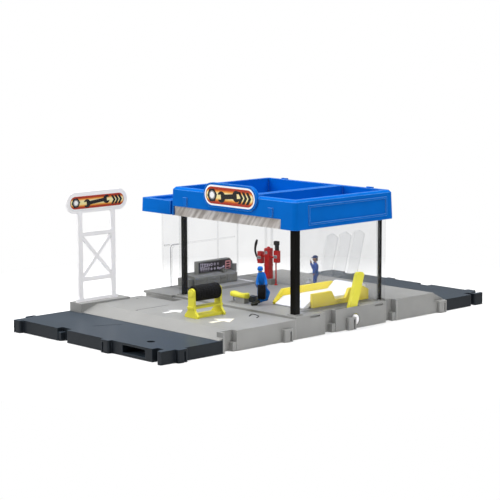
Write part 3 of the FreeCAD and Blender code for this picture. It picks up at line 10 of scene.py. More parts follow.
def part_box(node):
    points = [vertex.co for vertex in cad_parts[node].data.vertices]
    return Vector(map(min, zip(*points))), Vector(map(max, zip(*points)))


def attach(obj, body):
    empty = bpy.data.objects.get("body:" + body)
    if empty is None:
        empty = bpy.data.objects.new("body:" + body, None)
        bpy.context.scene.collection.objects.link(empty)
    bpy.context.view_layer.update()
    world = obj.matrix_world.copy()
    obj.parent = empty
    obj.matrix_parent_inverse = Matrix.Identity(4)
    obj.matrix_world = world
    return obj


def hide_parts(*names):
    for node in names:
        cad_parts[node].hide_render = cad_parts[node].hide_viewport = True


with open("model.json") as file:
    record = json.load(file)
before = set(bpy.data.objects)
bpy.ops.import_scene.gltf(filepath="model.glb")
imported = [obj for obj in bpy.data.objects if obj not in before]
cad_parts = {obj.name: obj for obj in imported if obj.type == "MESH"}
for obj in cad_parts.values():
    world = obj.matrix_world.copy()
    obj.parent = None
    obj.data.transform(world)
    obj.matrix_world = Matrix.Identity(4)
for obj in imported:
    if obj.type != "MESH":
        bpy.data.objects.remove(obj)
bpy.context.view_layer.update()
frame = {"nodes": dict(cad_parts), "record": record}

nodes = frame["nodes"]
MM = 0.001
# Heights of the floors, in millimetres
forecourt_top, shop_floor, platform_top = 14.5, 16.2, 18.5


# Camera of the photograph: place, heading, height angle and roll, for a square picture
camera_place = (0.92585, -0.88550, 0.23660)
camera_azimuth = 0.8131840621
camera_elevation = 0.1431883342
camera_roll = -0.0032452853
picture_width = 500.0
focal_pixels = 1695.2745
sensor_width = 36.0


def add_camera():
    a, e, r = camera_azimuth, camera_elevation, camera_roll
    back = Vector((math.sin(a) * math.cos(e), -math.cos(a) * math.cos(e), math.sin(e)))
    right = Vector((math.cos(a), math.sin(a), 0.0))
    up = back.cross(right)
    side = right * math.cos(r) + up * math.sin(r)
    top = up * math.cos(r) - right * math.sin(r)
    data = bpy.data.cameras.new("camera")
    data.sensor_width = sensor_width
    data.lens = sensor_width * focal_pixels / picture_width
    data.clip_start = 0.01
    data.clip_end = 50.0
    camera = bpy.data.objects.new("camera", data)
    matrix = Matrix((side, top, back)).transposed().to_4x4()
    matrix.translation = Vector(camera_place)
    camera.matrix_world = matrix
    bpy.context.scene.collection.objects.link(camera)
    bpy.context.scene.camera = camera


# Light: a pale room, seen white, with a wide lamp overhead and smaller ones from the sides
room_light = 0.31
floor_light = 0.5
plain_white = (1.0, 1.0, 1.0, 1.0)
lamps = (
    # name, place, aim, size, power
    ("overhead_lamp", (0.0, -0.05, 1.5), (0.0, 0.0, 0.0), 1.6, 34.5),
    ("front_lamp", (-0.9, -1.7, 1.0), (0.0, 0.0, 0.05), 1.2, 23.0),
    ("right_lamp", (1.7, 0.4, 1.1), (0.0, 0.0, 0.05), 0.9, 9.5),
)
# Light that the clear walls and the blue roof pass on into the bay
bay_lamps = (
    # name, place, size along x, size along y, power
    ("bay_lamp", (0.016, 0.008, 0.0825), 0.11, 0.085, 0.082),
    ("annex_lamp", (-0.062, 0.008, 0.0825), 0.03, 0.08, 0.024),
)


def add_lamp(name, place, power, **settings):
    data = bpy.data.lights.new(name, "AREA")
    data.energy = power
    for key, value in settings.items():
        setattr(data, key, value)
    lamp = bpy.data.objects.new(name, data)
    lamp.location = place
    bpy.context.scene.collection.objects.link(lamp)
    return lamp


def add_lights():
    for name, place, aim, size, power in lamps:
        lamp = add_lamp(name, place, power, shape="DISK", size=size)
        lamp.rotation_euler = (Vector(aim) - Vector(place)).to_track_quat("-Z", "Y").to_euler()
    for name, place, across, along, power in bay_lamps:
        lamp = add_lamp(name, place, power, shape="RECTANGLE", size=across, size_y=along)
        lamp.visible_camera = False
        lamp.visible_glossy = False


def add_white_room():
    world = bpy.data.worlds.new("white_room")
    bpy.context.scene.world = world
    world.use_nodes = True
    tree = world.node_tree
    tree.nodes.clear()
    seen = make(tree, "ShaderNodeBackground", {"Color": plain_white, "Strength": 1.0})
    lit = make(tree, "ShaderNodeBackground", {"Color": plain_white, "Strength": room_light})
    camera_ray = make(tree, "ShaderNodeLightPath").outputs["Is Camera Ray"]
    make(tree, "ShaderNodeOutputWorld", {"Surface": mixed_shader(tree, camera_ray, lit, seen)})
    bpy.context.scene.view_settings.view_transform = "Standard"


# Nodes: each input takes a number, a colour or the output of another node
def make(tree, kind, inputs=None, **settings):
    made = tree.nodes.new(kind)
    for key, value in settings.items():
        setattr(made, key, value)
    for key, value in (inputs or {}).items():
        if isinstance(value, bpy.types.NodeSocket):
            tree.links.new(value, made.inputs[key])
        elif value is not None:
            made.inputs[key].default_value = value
    return made


def scaled(color, factor):
    return tuple(min(1.0, c * factor) for c in color) + (1.0,)


def new_material(name):
    # the material, its tree, and the place on the piece that its patterns follow
    material = bpy.data.materials.new(name)
    material.use_nodes = True
    tree = material.node_tree
    tree.nodes.clear()
    return material, tree, make(tree, "ShaderNodeTexCoord").outputs["Object"]


def finish_material(material, surface):
    make(material.node_tree, "ShaderNodeOutputMaterial", {"Surface": surface})
    return material


def noise(tree, spot, scale, detail=2.0):
    return make(tree, "ShaderNodeTexNoise",
                {"Vector": spot, "Scale": scale, "Detail": detail}).outputs["Fac"]


def ranged(tree, source, low, high, from_low=0.3, from_high=0.7):
    return make(tree, "ShaderNodeMapRange", {"Value": source, "From Min": from_low, "From Max": from_high,
                                             "To Min": low, "To Max": high}).outputs["Result"]


def calculated(tree, operation, first, second=None, third=None):
    return make(tree, "ShaderNodeMath", {0: first, 1: second, 2: third}, operation=operation).outputs[0]


def mixed_color(tree, factor, first, second):
    return make(tree, "ShaderNodeMix", {0: factor, 6: first, 7: second}, data_type="RGBA").outputs[2]


def mixed_shader(tree, factor, first, second):
    return make(tree, "ShaderNodeMixShader",
                {0: factor, 1: first.outputs[0], 2: second.outputs[0]}).outputs[0]


def softened(tree, radius):
    # the surface's normal with its edges rounded, radius in millimetres
    return make(tree, "ShaderNodeBevel", {"Radius": radius * MM}, samples=4).outputs[0]


def edge_mask(tree, soft, low=0.02, high=0.25):
    # 1 along an edge, 0 on a flat: how far the rounded normal leaves the true one
    flat = make(tree, "ShaderNodeNewGeometry").outputs["Normal"]
    dot = make(tree, "ShaderNodeVectorMath", {0: soft, 1: flat}, operation="DOT_PRODUCT")
    either_side = calculated(tree, "ABSOLUTE", dot.outputs["Value"])
    return ranged(tree, either_side, 1.0, 0.0, 1.0 - high, 1.0 - low)


# Every moulded surface: colour drifts softly, edges are rounded and painted a little lighter as a painted
# highlight, and a fine grain breaks the gloss. Its upright faces can be painted darker than its flat ones,
# as painted shade.
def plastic(name, color, roughness=0.42, drift=0.05, edge=1.18, highlight_color=None, grain=0.12,
            grain_scale=2600.0, round_edge=0.35, specular=0.5, coat=0.0, sides=1.0):
    material, tree, spot = new_material(name)
    soft = softened(tree, round_edge)
    fine = noise(tree, spot, grain_scale)
    base = mixed_color(tree, ranged(tree, noise(tree, spot, 55.0, 3.0), 0.0, 1.0),
                       scaled(color, 1.0 - drift), scaled(color, 1.0 + drift))
    # painted shade: upright faces are darkened by this factor
    if sides < 1.0:
        true_normal = make(tree, "ShaderNodeNewGeometry").outputs["True Normal"]
        height = make(tree, "ShaderNodeSeparateXYZ", {0: true_normal}).outputs["Z"]
        base = mixed_color(tree, ranged(tree, height, 1.0, 0.0, 0.3, 0.8), base, scaled(color, sides))
    # painted highlight: edges take a lighter colour than the flat faces
    base = mixed_color(tree, edge_mask(tree, soft), base, highlight_color or scaled(color, edge))
    bump = make(tree, "ShaderNodeBump", {"Strength": grain, "Distance": 0.06 * MM,
                                         "Height": fine, "Normal": soft})
    shader = make(tree, "ShaderNodeBsdfPrincipled", {
        "Base Color": base, "Roughness": ranged(tree, fine, roughness * 0.85, roughness * 1.15),
        "Normal": bump.outputs[0], "Specular IOR Level": specular, "Coat Weight": coat,
        "Coat Roughness": 0.12})
    return finish_material(material, shader.outputs[0])


# Clear panels: mostly see-through; whiter where the view grazes them, partly real gloss and partly painted
# reflection, and along their edges as a painted highlight
def clear_plastic(name, haze, rim=0.6, color=(0.34, 0.35, 0.36), tint=(0.965, 0.966, 0.967)):
    material, tree, spot = new_material(name)
    soft = softened(tree, 0.35)
    through = make(tree, "ShaderNodeBsdfTransparent", {"Color": tint + (1.0,)})
    shine = make(tree, "ShaderNodeBsdfPrincipled", {
        "Base Color": color + (1.0,), "Normal": soft,
        "Roughness": ranged(tree, noise(tree, spot, 900.0), 0.06, 0.16)})
    cloud = ranged(tree, noise(tree, spot, 38.0, 3.0), haze * 0.6, haze * 1.4)
    grazing = make(tree, "ShaderNodeLayerWeight", {"Blend": 0.5}).outputs["Facing"]
    # painted reflection: more of the pale surface where the view grazes the panel
    sheen = calculated(tree, "MULTIPLY_ADD", calculated(tree, "POWER", grazing, 5.0), 0.9, cloud)
    # painted highlight: more of the pale surface along the edges
    cover = calculated(tree, "MULTIPLY_ADD", edge_mask(tree, soft), rim, sheen)
    cover = calculated(tree, "MINIMUM", cover, 1.0)
    return finish_material(material, mixed_shader(tree, cover, through, shine))


def shutter_print():
    # grey slats with faint slanted streaks of painted reflection and browner patches
    material, tree, spot = new_material("shutter_print")
    slant = (0.0, math.radians(38.0), 0.0)
    turn = make(tree, "ShaderNodeMapping", {"Vector": spot, "Rotation": slant, "Scale": (1.0, 1.0, 8.0)},
                vector_type="TEXTURE")
    reflection_streaks = noise(tree, turn.outputs[0], 360.0, 3.0)
    base = mixed_color(tree, ranged(tree, reflection_streaks, 0.0, 1.0, 0.35, 0.62),
                       (0.33, 0.30, 0.28, 1.0), (0.66, 0.63, 0.61, 1.0))
    patches = ranged(tree, noise(tree, spot, 34.0, 2.0), 0.0, 0.5, 0.5, 0.75)
    base = mixed_color(tree, patches, base, (0.44, 0.37, 0.30, 1.0))
    shader = make(tree, "ShaderNodeBsdfPrincipled", {
        "Specular IOR Level": 0.4, "Base Color": base, "Roughness": ranged(tree, reflection_streaks, 0.3, 0.5),
        "Normal": softened(tree, 0.15)})
    return finish_material(material, shader.outputs[0])


# Printed labels: bands across the height of the piece, from its lower edge to its upper edge
def banded_print(name, stops, roughness=0.3):
    material, tree, spot = new_material(name)
    whole = make(tree, "ShaderNodeTexCoord").outputs["Generated"]
    height = make(tree, "ShaderNodeSeparateXYZ", {0: whole}).outputs["Z"]
    wobble = ranged(tree, noise(tree, spot, 300.0), -0.012, 0.012)
    ramp = make(tree, "ShaderNodeValToRGB", {0: calculated(tree, "ADD", height, wobble)})
    bands = ramp.color_ramp.elements
    while len(bands) < len(stops):
        bands.new(0.5)
    for band, (place, color) in zip(bands, stops):
        band.position = place
        band.color = color + (1.0,)
    fine = noise(tree, spot, 2400.0)
    shader = make(tree, "ShaderNodeBsdfPrincipled", {
        "Base Color": ramp.outputs[0], "Roughness": ranged(tree, fine, roughness * 0.8, roughness * 1.2)})
    return finish_material(material, shader.outputs[0])


def metal(name, color, roughness):
    # drawn metal: fine lines along its length
    material, tree, spot = new_material(name)
    stretch = make(tree, "ShaderNodeMapping", {"Vector": spot, "Scale": (0.15, 1.0, 1.0)})
    lines = noise(tree, stretch.outputs[0], 3000.0, 3.0)
    base = mixed_color(tree, ranged(tree, lines, 0.0, 1.0), scaled(color, 0.85), scaled(color, 1.1))
    bump = make(tree, "ShaderNodeBump", {"Strength": 0.2, "Distance": 0.03 * MM, "Height": lines})
    shader = make(tree, "ShaderNodeBsdfPrincipled", {
        "Metallic": 1.0, "Base Color": base, "Normal": bump.outputs[0],
        "Roughness": ranged(tree, lines, roughness * 0.7, roughness * 1.3)})
    return finish_material(material, shader.outputs[0])


# slate: its upright faces are darkened to a quarter, painted shade, and its lighter edges are a painted
# highlight
slate = plastic("slate_plastic", (0.038, 0.051, 0.067), 0.42, edge=1.6, grain=0.2, round_edge=0.5,
                specular=0.16, sides=0.25)
light_grey = plastic("light_grey_plastic", (0.265, 0.265, 0.257), 0.40, edge=1.75, grain=0.16,
                     round_edge=0.5, specular=0.3)
steel = metal("steel", (0.62, 0.62, 0.62), 0.3)
black_gloss = plastic("black_column_plastic", (0.006, 0.0057, 0.005), 0.25, edge=4.0, grain=0.04,
                      specular=0.06)
clear = clear_plastic("clear_plastic", 0.045)
# the right wall takes a paler shine colour than the other walls: painted reflection
clear_right_sheen = clear_plastic("clear_right_plastic", 0.045, color=(0.60, 0.61, 0.62))
clear_bar = clear_plastic("clear_bar_plastic", 0.08, rim=0.2, color=(0.66, 0.67, 0.68),
                          tint=(0.945, 0.947, 0.95))
clear_line = clear_plastic("clear_line_plastic", 0.4, rim=0.3, color=(0.22, 0.22, 0.23),
                           tint=(0.88, 0.88, 0.89))
# the pale blue along the roof's edges is a painted highlight
blue = plastic("blue_plastic", (0.0005, 0.128, 0.53), 0.34, highlight_color=(0.22, 0.46, 0.86, 1.0),
               grain=0.07, round_edge=0.5, specular=0.04)
yellow = plastic("yellow_plastic", (0.71, 0.66, 0.058), 0.36, edge=1.15, grain=0.07, specular=0.25)
# the lift's yellow is brighter and warmer than the rack's same plastic: painted light of the warm bounce in
# the bay
lift_yellow_lit = plastic("lift_yellow_lit", (0.95, 0.77, 0.06), 0.36, edge=1.15, grain=0.07, specular=0.25)
deck_white = plastic("deck_white", (0.96, 0.96, 1.0), 0.36, drift=0.02, edge=1.08, grain=0.07,
                     specular=0.25)
white = plastic("white_plastic", (0.94, 0.93, 0.945), 0.36, drift=0.01, edge=1.03, grain=0.07,
                specular=0.25)
mechanism_grey = plastic("mechanism_plastic", (0.33, 0.33, 0.32), 0.45)
rubber = plastic("black_rubber", (0.006, 0.006, 0.0065), 0.55, edge=3.0, grain=0.5, grain_scale=1500.0,
                 specular=0.15)
bench_grey = plastic("bench_plastic", (0.185, 0.188, 0.176), 0.4, edge=1.7, grain=0.2, specular=0.3)
red = plastic("red_plastic", (0.40, 0.012, 0.012), 0.3, edge=1.5, grain=0.05, coat=0.2)
black = plastic("black_plastic", (0.012, 0.012, 0.012), 0.38, edge=2.5, grain=0.1)
can_grey = plastic("can_plastic", (0.42, 0.42, 0.42), 0.35, edge=1.3)
chest_grey = plastic("chest_plastic", (0.062, 0.070, 0.078), 0.4, edge=1.6)
cloth = {"edge": 1.2, "grain": 0.25, "specular": 0.15}
overall_blue = plastic("overall_blue", (0.003, 0.145, 0.56), 0.45, **cloth)
trouser_blue = plastic("trouser_blue", (0.003, 0.10, 0.36), 0.5, **cloth)
dusk_blue = plastic("dusk_blue", (0.03, 0.075, 0.29), 0.5, **cloth)
cap_blue = plastic("cap_blue", (0.012, 0.028, 0.11), 0.5, **cloth)
skin_paint = plastic("skin_paint", (0.27, 0.14, 0.095), 0.5, edge=1.1, grain=0.1)
hair_paint = plastic("hair_paint", (0.05, 0.035, 0.03), 0.6, edge=1.4, grain=0.5)
collar_paint = plastic("collar_paint", (0.36, 0.36, 0.16), 0.5, edge=1.2)
glove_paint = plastic("glove_paint", (0.03, 0.075, 0.20), 0.5, edge=1.1)
boot_paint = plastic("boot_paint", (0.018, 0.018, 0.008), 0.4, edge=1.8, grain=0.3)
mark_white = plastic("mark_white", (0.84, 0.84, 0.83), 0.3, drift=0.02, edge=1.05, grain=0.03)
mark_cream = plastic("mark_cream", (0.84, 0.80, 0.68), 0.3, drift=0.02, edge=1.05, grain=0.03)
shade_grey = plastic("shade_grey", (0.08, 0.08, 0.08), 0.45, edge=1.2)
slot_dark = plastic("slot_dark", (0.02, 0.02, 0.018), 0.5, edge=1.6)
print_black = plastic("print_black", (0.010, 0.010, 0.011), 0.28, drift=0.1, edge=1.4, grain=0.02)
print_grey = plastic("print_grey", (0.30, 0.30, 0.31), 0.3, edge=1.1, grain=0.02)
print_white = plastic("print_white", (0.96, 0.96, 0.96), 0.3, drift=0.01, edge=1.02, grain=0.02)
tool_print = plastic("tool_print", (0.030, 0.028, 0.031), 0.4, grain=0.1)
tool_lilac = plastic("tool_lilac", (0.58, 0.53, 0.64), 0.4, drift=0.15, grain=0.05)
tool_red = plastic("tool_red", (0.52, 0.24, 0.25), 0.4, drift=0.1, grain=0.05)
shutter = shutter_print()
sign_border = plastic("sign_border", (0.46, 0.035, 0.010), 0.3, drift=0.15, edge=1.1, grain=0.02)
sign_field = banded_print("sign_field", (
    (0.00, (0.34, 0.020, 0.008)), (0.12, (0.50, 0.055, 0.008)), (0.22, (0.82, 0.33, 0.03)),
    (0.34, (0.90, 0.76, 0.34)), (0.66, (0.90, 0.80, 0.44)), (0.78, (0.82, 0.33, 0.03)),
    (0.88, (0.50, 0.055, 0.008)), (1.00, (0.34, 0.020, 0.008))))

# The material of each slot in the record, and of single pieces that have another colour in the photo
finishes = {
    "slate_plastic": slate, "light_grey_plastic": light_grey, "steel_screw": steel,
    "black_column": black_gloss, "clear_plastic": clear, "blue_plastic": blue, "shutter_label": shutter,
    "badge_label": sign_field, "yellow_plastic": yellow, "mechanism_plastic": mechanism_grey,
    "steel_pin": steel, "white_plastic": white, "black_rubber": rubber, "bench_plastic": bench_grey,
    "tool_label": tool_print, "red_plastic": red, "black_plastic": black, "figure_paint": overall_blue,
    "can_plastic": can_grey}
own_finishes = {"lift_axle": white, "cradle_stand": light_grey, "lift_frame": lift_yellow_lit,
                "lift_deck": deck_white, "clear_wall_right": clear_right_sheen}


def paint(piece, material):
    piece.data.materials.clear()
    piece.data.materials.append(material)


def paint_nodes():
    for row in frame["record"]["subparts"]:
        paint(nodes[row["node"]], own_finishes.get(row["node"], finishes[row["material_slot"]]))


# A pale floor, far wider than the toy, that turns into the white of the backdrop with distance
floor_half = 6.0
floor_drop = 0.05 * MM
fade_start, fade_end = 0.15, 0.32


def add_floor():
    mesh = bpy.data.meshes.new("floor")
    corners = [(x * floor_half, y * floor_half, -floor_drop) for x,
               y in ((-1, -1), (1, -1), (1, 1), (-1, 1))]
    mesh.from_pydata(corners, [], [(0, 1, 2, 3)])
    floor = bpy.data.objects.new("floor", mesh)
    bpy.context.scene.collection.objects.link(floor)
    material, tree, spot = new_material("floor_white")
    base = mixed_color(tree, ranged(tree, noise(tree, spot, 9.0), 0.0, 1.0),
                       (0.84, 0.84, 0.84, 1.0), (0.85, 0.85, 0.85, 1.0))
    near = make(tree, "ShaderNodeBsdfPrincipled", {"Roughness": 0.9, "Specular IOR Level": 0.0,
                                                   "Base Color": base})
    camera_ray = make(tree, "ShaderNodeLightPath").outputs["Is Camera Ray"]
    glow = calculated(tree, "MULTIPLY_ADD", camera_ray, 1.0 - floor_light, floor_light)
    far = make(tree, "ShaderNodeEmission", {"Color": plain_white, "Strength": glow})
    reach = make(tree, "ShaderNodeVectorMath", {0: spot}, operation="LENGTH")
    away = ranged(tree, reach.outputs["Value"], 0.0, 1.0, fade_start, fade_end)
    paint(floor, finish_material(material, mixed_shader(tree, away, near, far)))


# Shapes are drawn in millimetres, and turned to metres when their piece is finished
def finish_piece(name, bm, material, body="root", replaces=(), smooth=38.0):
    bmesh.ops.recalc_face_normals(bm, faces=bm.faces)
    for vert in bm.verts:
        vert.co *= MM
    for face in bm.faces:
        face.smooth = True
    for edge in bm.edges:
        edge.smooth = len(edge.link_faces) == 2 and edge.calc_face_angle(0.0) < math.radians(smooth)
    mesh = bpy.data.meshes.new(name)
    bm.to_mesh(mesh)
    bm.free()
    piece = bpy.data.objects.new(name, mesh)
    bpy.context.scene.collection.objects.link(piece)
    paint(piece, material)
    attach(piece, body)
    if replaces:
        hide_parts(*replaces)
    return piece


# Places for flat outlines: u and v lie in the face, w stands out of it
def on_front(y):
    return lambda u, v, w: (u, y - w, v)


def on_right(x):
    return lambda u, v, w: (x + w, u, v)


def on_top(z):
    return lambda u, v, w: (u, v, z + w)


def close_rings(bm, rings):
    # a closed skin over a row of rings, each with the same number of corners
    bm.faces.new(rings[0])
    bm.faces.new(rings[-1][::-1])
    for first, second in zip(rings, rings[1:]):
        for n in range(len(first)):
            m = (n + 1) % len(first)
            bm.faces.new((first[n], first[m], second[m], second[n]))


def slab(bm, outline, place, low, high):
    close_rings(bm, [[bm.verts.new(place(u, v, w)) for u, v in outline] for w in (low, high)])


def add_slabs(name, outlines, place, low, high, material, replaces=()):
    bm = bmesh.new()
    for outline in outlines:
        slab(bm, outline, place, low, high)
    finish_piece(name, bm, material, replaces=replaces)


def block(bm, low, high, bevel=0.3, steps=2):
    low, high = Vector(low), Vector(high)
    matrix = Matrix.Translation((low + high) / 2) @ Matrix.Diagonal((high - low).to_4d())
    matrix[3][3] = 1.0
    made = bmesh.ops.create_cube(bm, size=1.0, matrix=matrix)
    edges = {edge for vert in made["verts"] for edge in vert.link_edges}
    bmesh.ops.bevel(bm, geom=list(edges), offset=bevel, segments=steps, affect="EDGES", profile=0.5)


def ring_points(radius, steps, start=0.0, end=2 * math.pi, u=0.0, v=0.0):
    closed = abs(end - start - 2 * math.pi) < 1e-6
    count = steps if closed else steps + 1
    return [(u + radius * math.cos(start + (end - start) * i / steps),
             v + radius * math.sin(start + (end - start) * i / steps)) for i in range(count)]


def stadium(u, v, length, height):
    radius = height / 2
    half = length / 2 - radius
    quarter = math.pi / 2
    return (ring_points(radius, 16, -quarter, quarter, u + half, v) +
            ring_points(radius, 16, quarter, 3 * quarter, u - half, v))


def rounded(u0, u1, v0, v1, radius):
    quarter = math.pi / 2
    corners = ((u1 - radius, v1 - radius), (u0 + radius, v1 - radius), (u0 + radius, v0 + radius),
               (u1 - radius, v0 + radius))
    points = []
    for index, (u, v) in enumerate(corners):
        points += ring_points(radius, 5, index * quarter, (index + 1) * quarter, u, v)
    return points


def cog(u, v, radius, depth, teeth):
    points = []
    for i in range(teeth):
        for part, reach in ((0.0, radius - depth), (0.28, radius - depth), (0.40, radius), (0.88, radius)):
            angle = 2 * math.pi * (i + part) / teeth
            points.append((u + reach * math.cos(angle), v + reach * math.sin(angle)))
    return points


def turned(points, angle, u=0.0, v=0.0):
    c, s = math.cos(angle), math.sin(angle)
    return [(u + a * c - b * s, v + a * s + b * c) for a, b in points]


def spanner(length, head, handle, jaw):
    # open jaws at both ends, along u, centred on the middle of the handle
    join = math.asin(handle / head)
    gape = math.asin(jaw / head)
    points = []
    for side in (1, -1):
        middle = side * (length / 2 - head)
        turn = 0.0 if side > 0 else math.pi
        arc = ring_points(head, 8, turn - math.pi + join, turn - gape, middle, 0.0)
        inner = [(middle + side * head * 0.1, -side * jaw), (middle + side * head * 0.1, side * jaw)]
        points += arc + inner + ring_points(head, 8, turn + gape, turn + math.pi - join, middle, 0.0)
    return points


# Round shapes: a profile of (radius, along) pairs turned about an axis from a start point
def around(start, axis):
    axis = Vector(axis).normalized()
    side = axis.orthogonal().normalized()
    other = axis.cross(side)
    return lambda a, b, w: Vector(start) + side * a + other * b + axis * w


def lathe(bm, profile, place, steps=40, wave=None):
    rings = []
    for index, (radius, along) in enumerate(profile):
        if radius == 0:
            rings.append([bm.verts.new(place(0.0, 0.0, along))])
            continue
        ring = []
        for i in range(steps):
            angle = 2 * math.pi * i / steps
            reach = radius - (wave(index, i) if wave else 0.0)
            ring.append(bm.verts.new(place(reach * math.cos(angle), reach * math.sin(angle), along)))
        rings.append(ring)
    for first, second in zip(rings, rings[1:]):
        for i in range(steps):
            j = (i + 1) % steps
            corners = list(dict.fromkeys((first[i % len(first)], first[j % len(first)],
                                          second[j % len(second)], second[i % len(second)])))
            if len(corners) > 2:
                bm.faces.new(corners)


def limb(bm, start, end, first, second, steps=20):
    # a round-ended taper from one ball to another
    start, end = Vector(start), Vector(end)
    length = (end - start).length
    quarters = [math.pi / 2 * i / 6 for i in range(7)]
    profile = [(first * math.sin(t), -first * math.cos(t)) for t in quarters]
    profile += [(second * math.cos(t), length + second * math.sin(t)) for t in quarters]
    profile[0] = (0.0, -first)
    profile[-1] = (0.0, length + second)
    lathe(bm, profile, around(start, end - start if length > 1e-6 else Vector((0, 0, 1))), steps)


def curve_points(controls, steps=8):
    # a smooth line through the given points
    points = [Vector(p) for p in controls]
    points = [points[0] * 2 - points[1]] + points + [points[-1] * 2 - points[-2]]
    line = []
    for a, b, c, d in zip(points, points[1:], points[2:], points[3:]):
        for i in range(steps):
            t = i / steps
            line.append(0.5 * (2 * b + (c - a) * t + (2 * a - 5 * b + 4 * c - d) * t * t +
                               (3 * b - 3 * c + d - a) * t ** 3))
    line.append(points[-2])
    return line


def tube(bm, controls, radii, steps=16, divide=8):
    line = curve_points(controls, divide)
    side = (line[1] - line[0]).orthogonal().normalized()
    rings = []
    for i, point in enumerate(line):
        along = (line[min(i + 1, len(line) - 1)] - line[max(i - 1, 0)]).normalized()
        side = (side - along * side.dot(along)).normalized()
        other = along.cross(side)
        place = i / (len(line) - 1) * (len(radii) - 1)
        k = min(int(place), len(radii) - 2)
        radius = radii[k] + (radii[k + 1] - radii[k]) * (place - k)
        rings.append([bm.verts.new(point + (side * math.cos(t) + other * math.sin(t)) * radius)
                      for t in (2 * math.pi * n / steps for n in range(steps))])
    close_rings(bm, rings)


def melted(bm, voxel=0.17, passes=3):
    # overlapping shapes become one soft skin
    mesh = bpy.data.meshes.new("rough_shape")
    bm.to_mesh(mesh)
    bm.free()
    holder = bpy.data.objects.new("rough_shape", mesh)
    bpy.context.scene.collection.objects.link(holder)
    join = holder.modifiers.new("join", "REMESH")
    join.mode = "VOXEL"
    join.voxel_size = voxel
    soften = holder.modifiers.new("soften", "SMOOTH")
    soften.factor = 0.5
    soften.iterations = passes
    skin = bpy.data.meshes.new_from_object(holder.evaluated_get(bpy.context.evaluated_depsgraph_get()))
    bpy.data.objects.remove(holder)
    bpy.data.meshes.remove(mesh)
    joined = bmesh.new()
    joined.from_mesh(skin)
    bpy.data.meshes.remove(skin)
    return joined


# Signs: a white rim, a red border, a field of warm bands, and garage marks in black and grey
def add_sign_label(prefix, node, place, u, v, length, height):
    k = height / 15.3
    left = u - length / 2 + 8.4 * k
    right = u + length / 2 - 6.0 * k
    marks = [turned(ring_points(5.4 * k, 6), 0.12, left, v),
             turned(spanner(25.0, 4.3 * k, 1.8 * k, 1.8 * k), 0.10, u - 0.5, v)]
    for step in range(3):
        at = right - (2 - step) * 4.3 * k
        marks.append([(at - 3.4 * k, v - 4.5 * k), (at - 0.6 * k, v - 4.5 * k), (at + 2.4 * k, v),
                      (at - 0.6 * k, v + 4.5 * k), (at - 3.4 * k, v + 4.5 * k), (at - 0.4 * k, v)])
    layers = (("rim", print_white, [stadium(u, v, length, height)], 0.0, 0.10),
              ("border", sign_border, [stadium(u, v, length - 2.6 * k, height - 2.6 * k)], 0.10, 0.14),
              ("field", sign_field, [stadium(u, v, length - 4.0 * k, height - 4.0 * k)], 0.14, 0.17),
              ("marks", print_black, marks, 0.17, 0.24),
              ("nut_ring", print_grey, [ring_points(3.3 * k, 28, u=left, v=v)], 0.24, 0.27),
              ("nut_hole", print_white, [cog(left, v, 2.5 * k, 0.35 * k, 14)], 0.27, 0.30))
    for name, material, outlines, low, high in layers:
        add_slabs(prefix + name, outlines, place, low, high, material,
                  [node] if name == "rim" else ())


def add_signs():
    add_sign_label("roof_sign_", "roof_badge", on_front(-43.6), 13.95, 97.25, 54.3, 15.3)
    add_sign_label("road_sign_", "sign_badge", on_right(-74.75), -97.2, 91.35, 53.0, 11.3)


# Raised arrows, a seam and small moulded marks on the forecourt, and dark strips of painted shade for the
# grooves beside the lift
def add_forecourt_marks():
    top = on_top(forecourt_top)
    left = [(-4.3, -94.0), (-0.9, -94.0), (-0.9, -84.4), (4.9, -84.4), (-2.3, -76.0), (-9.4, -84.4),
            (-4.3, -84.4)]
    right = [(47.4, -95.0), (51.5, -95.0), (51.5, -84.6), (58.0, -84.6), (50.2, -73.0), (40.4, -84.0),
             (47.4, -84.4)]
    # the arrows' near-white is partly their own colour and partly a painted highlight where their raised
    # faces catch the light
    add_slabs("arrow_left", [left], top, 0.0, 0.3, mark_white)
    add_slabs("arrow_right", [right], top, 0.0, 0.3, mark_cream)
    seam = [(-27.1, -99.9), (-26.4, -99.9), (-26.4, -68.9), (-27.1, -68.9)]
    dots = [ring_points(0.85, 20, u=u, v=v) for u, v in ((-25.25, -100.9), (-64.25, -67.9), (47.75, -54.9))]
    add_slabs("forecourt_seam", [seam] + dots, top, 0.0, 0.06, shade_grey)
    bm = bmesh.new()
    hook = [(50.1, -58.0), (45.6, -51.0), (53.8, -52.5), (58.3, -58.2)]
    tube(bm, [(u, v, forecourt_top) for u, v in hook], [0.45, 0.45], 10, 10)
    # painted shade: dark strips lie where the grooves beside the lift are shaded
    for u in (69.0, 70.6, 72.2, 73.8):
        slab(bm, [(u - 0.35, -25.0), (u + 0.35, -25.0), (u + 0.35, 47.0), (u - 0.35, 47.0)],
             on_top(shop_floor), 0.0, 0.05)
    finish_piece("floor_groove_shade_and_hook", bm, slot_dark)
    add_slabs("platform_strip", [rounded(-62.0, -43.6, 33.4, 36.4, 0.4)], on_top(platform_top), 0.0, 0.12,
              mark_white)


# A tyre: blocks of tread round a tube, cut by grooves, with a bead round the bore
def tyre_profile(width, radius, bore):
    half = [(bore, 0.25), (bore, 0.12), (bore + 0.5, 0.02), (0.80 * radius, 0.0), (0.93 * radius, 0.03),
            (radius, 0.13), (radius, 0.30), (0.94 * radius, 0.33), (0.94 * radius, 0.38), (radius, 0.41)]
    whole = half + [(reach, 1.0 - along) for reach, along in reversed(half)] + half[:1]
    return [(reach, along * width) for reach, along in whole]


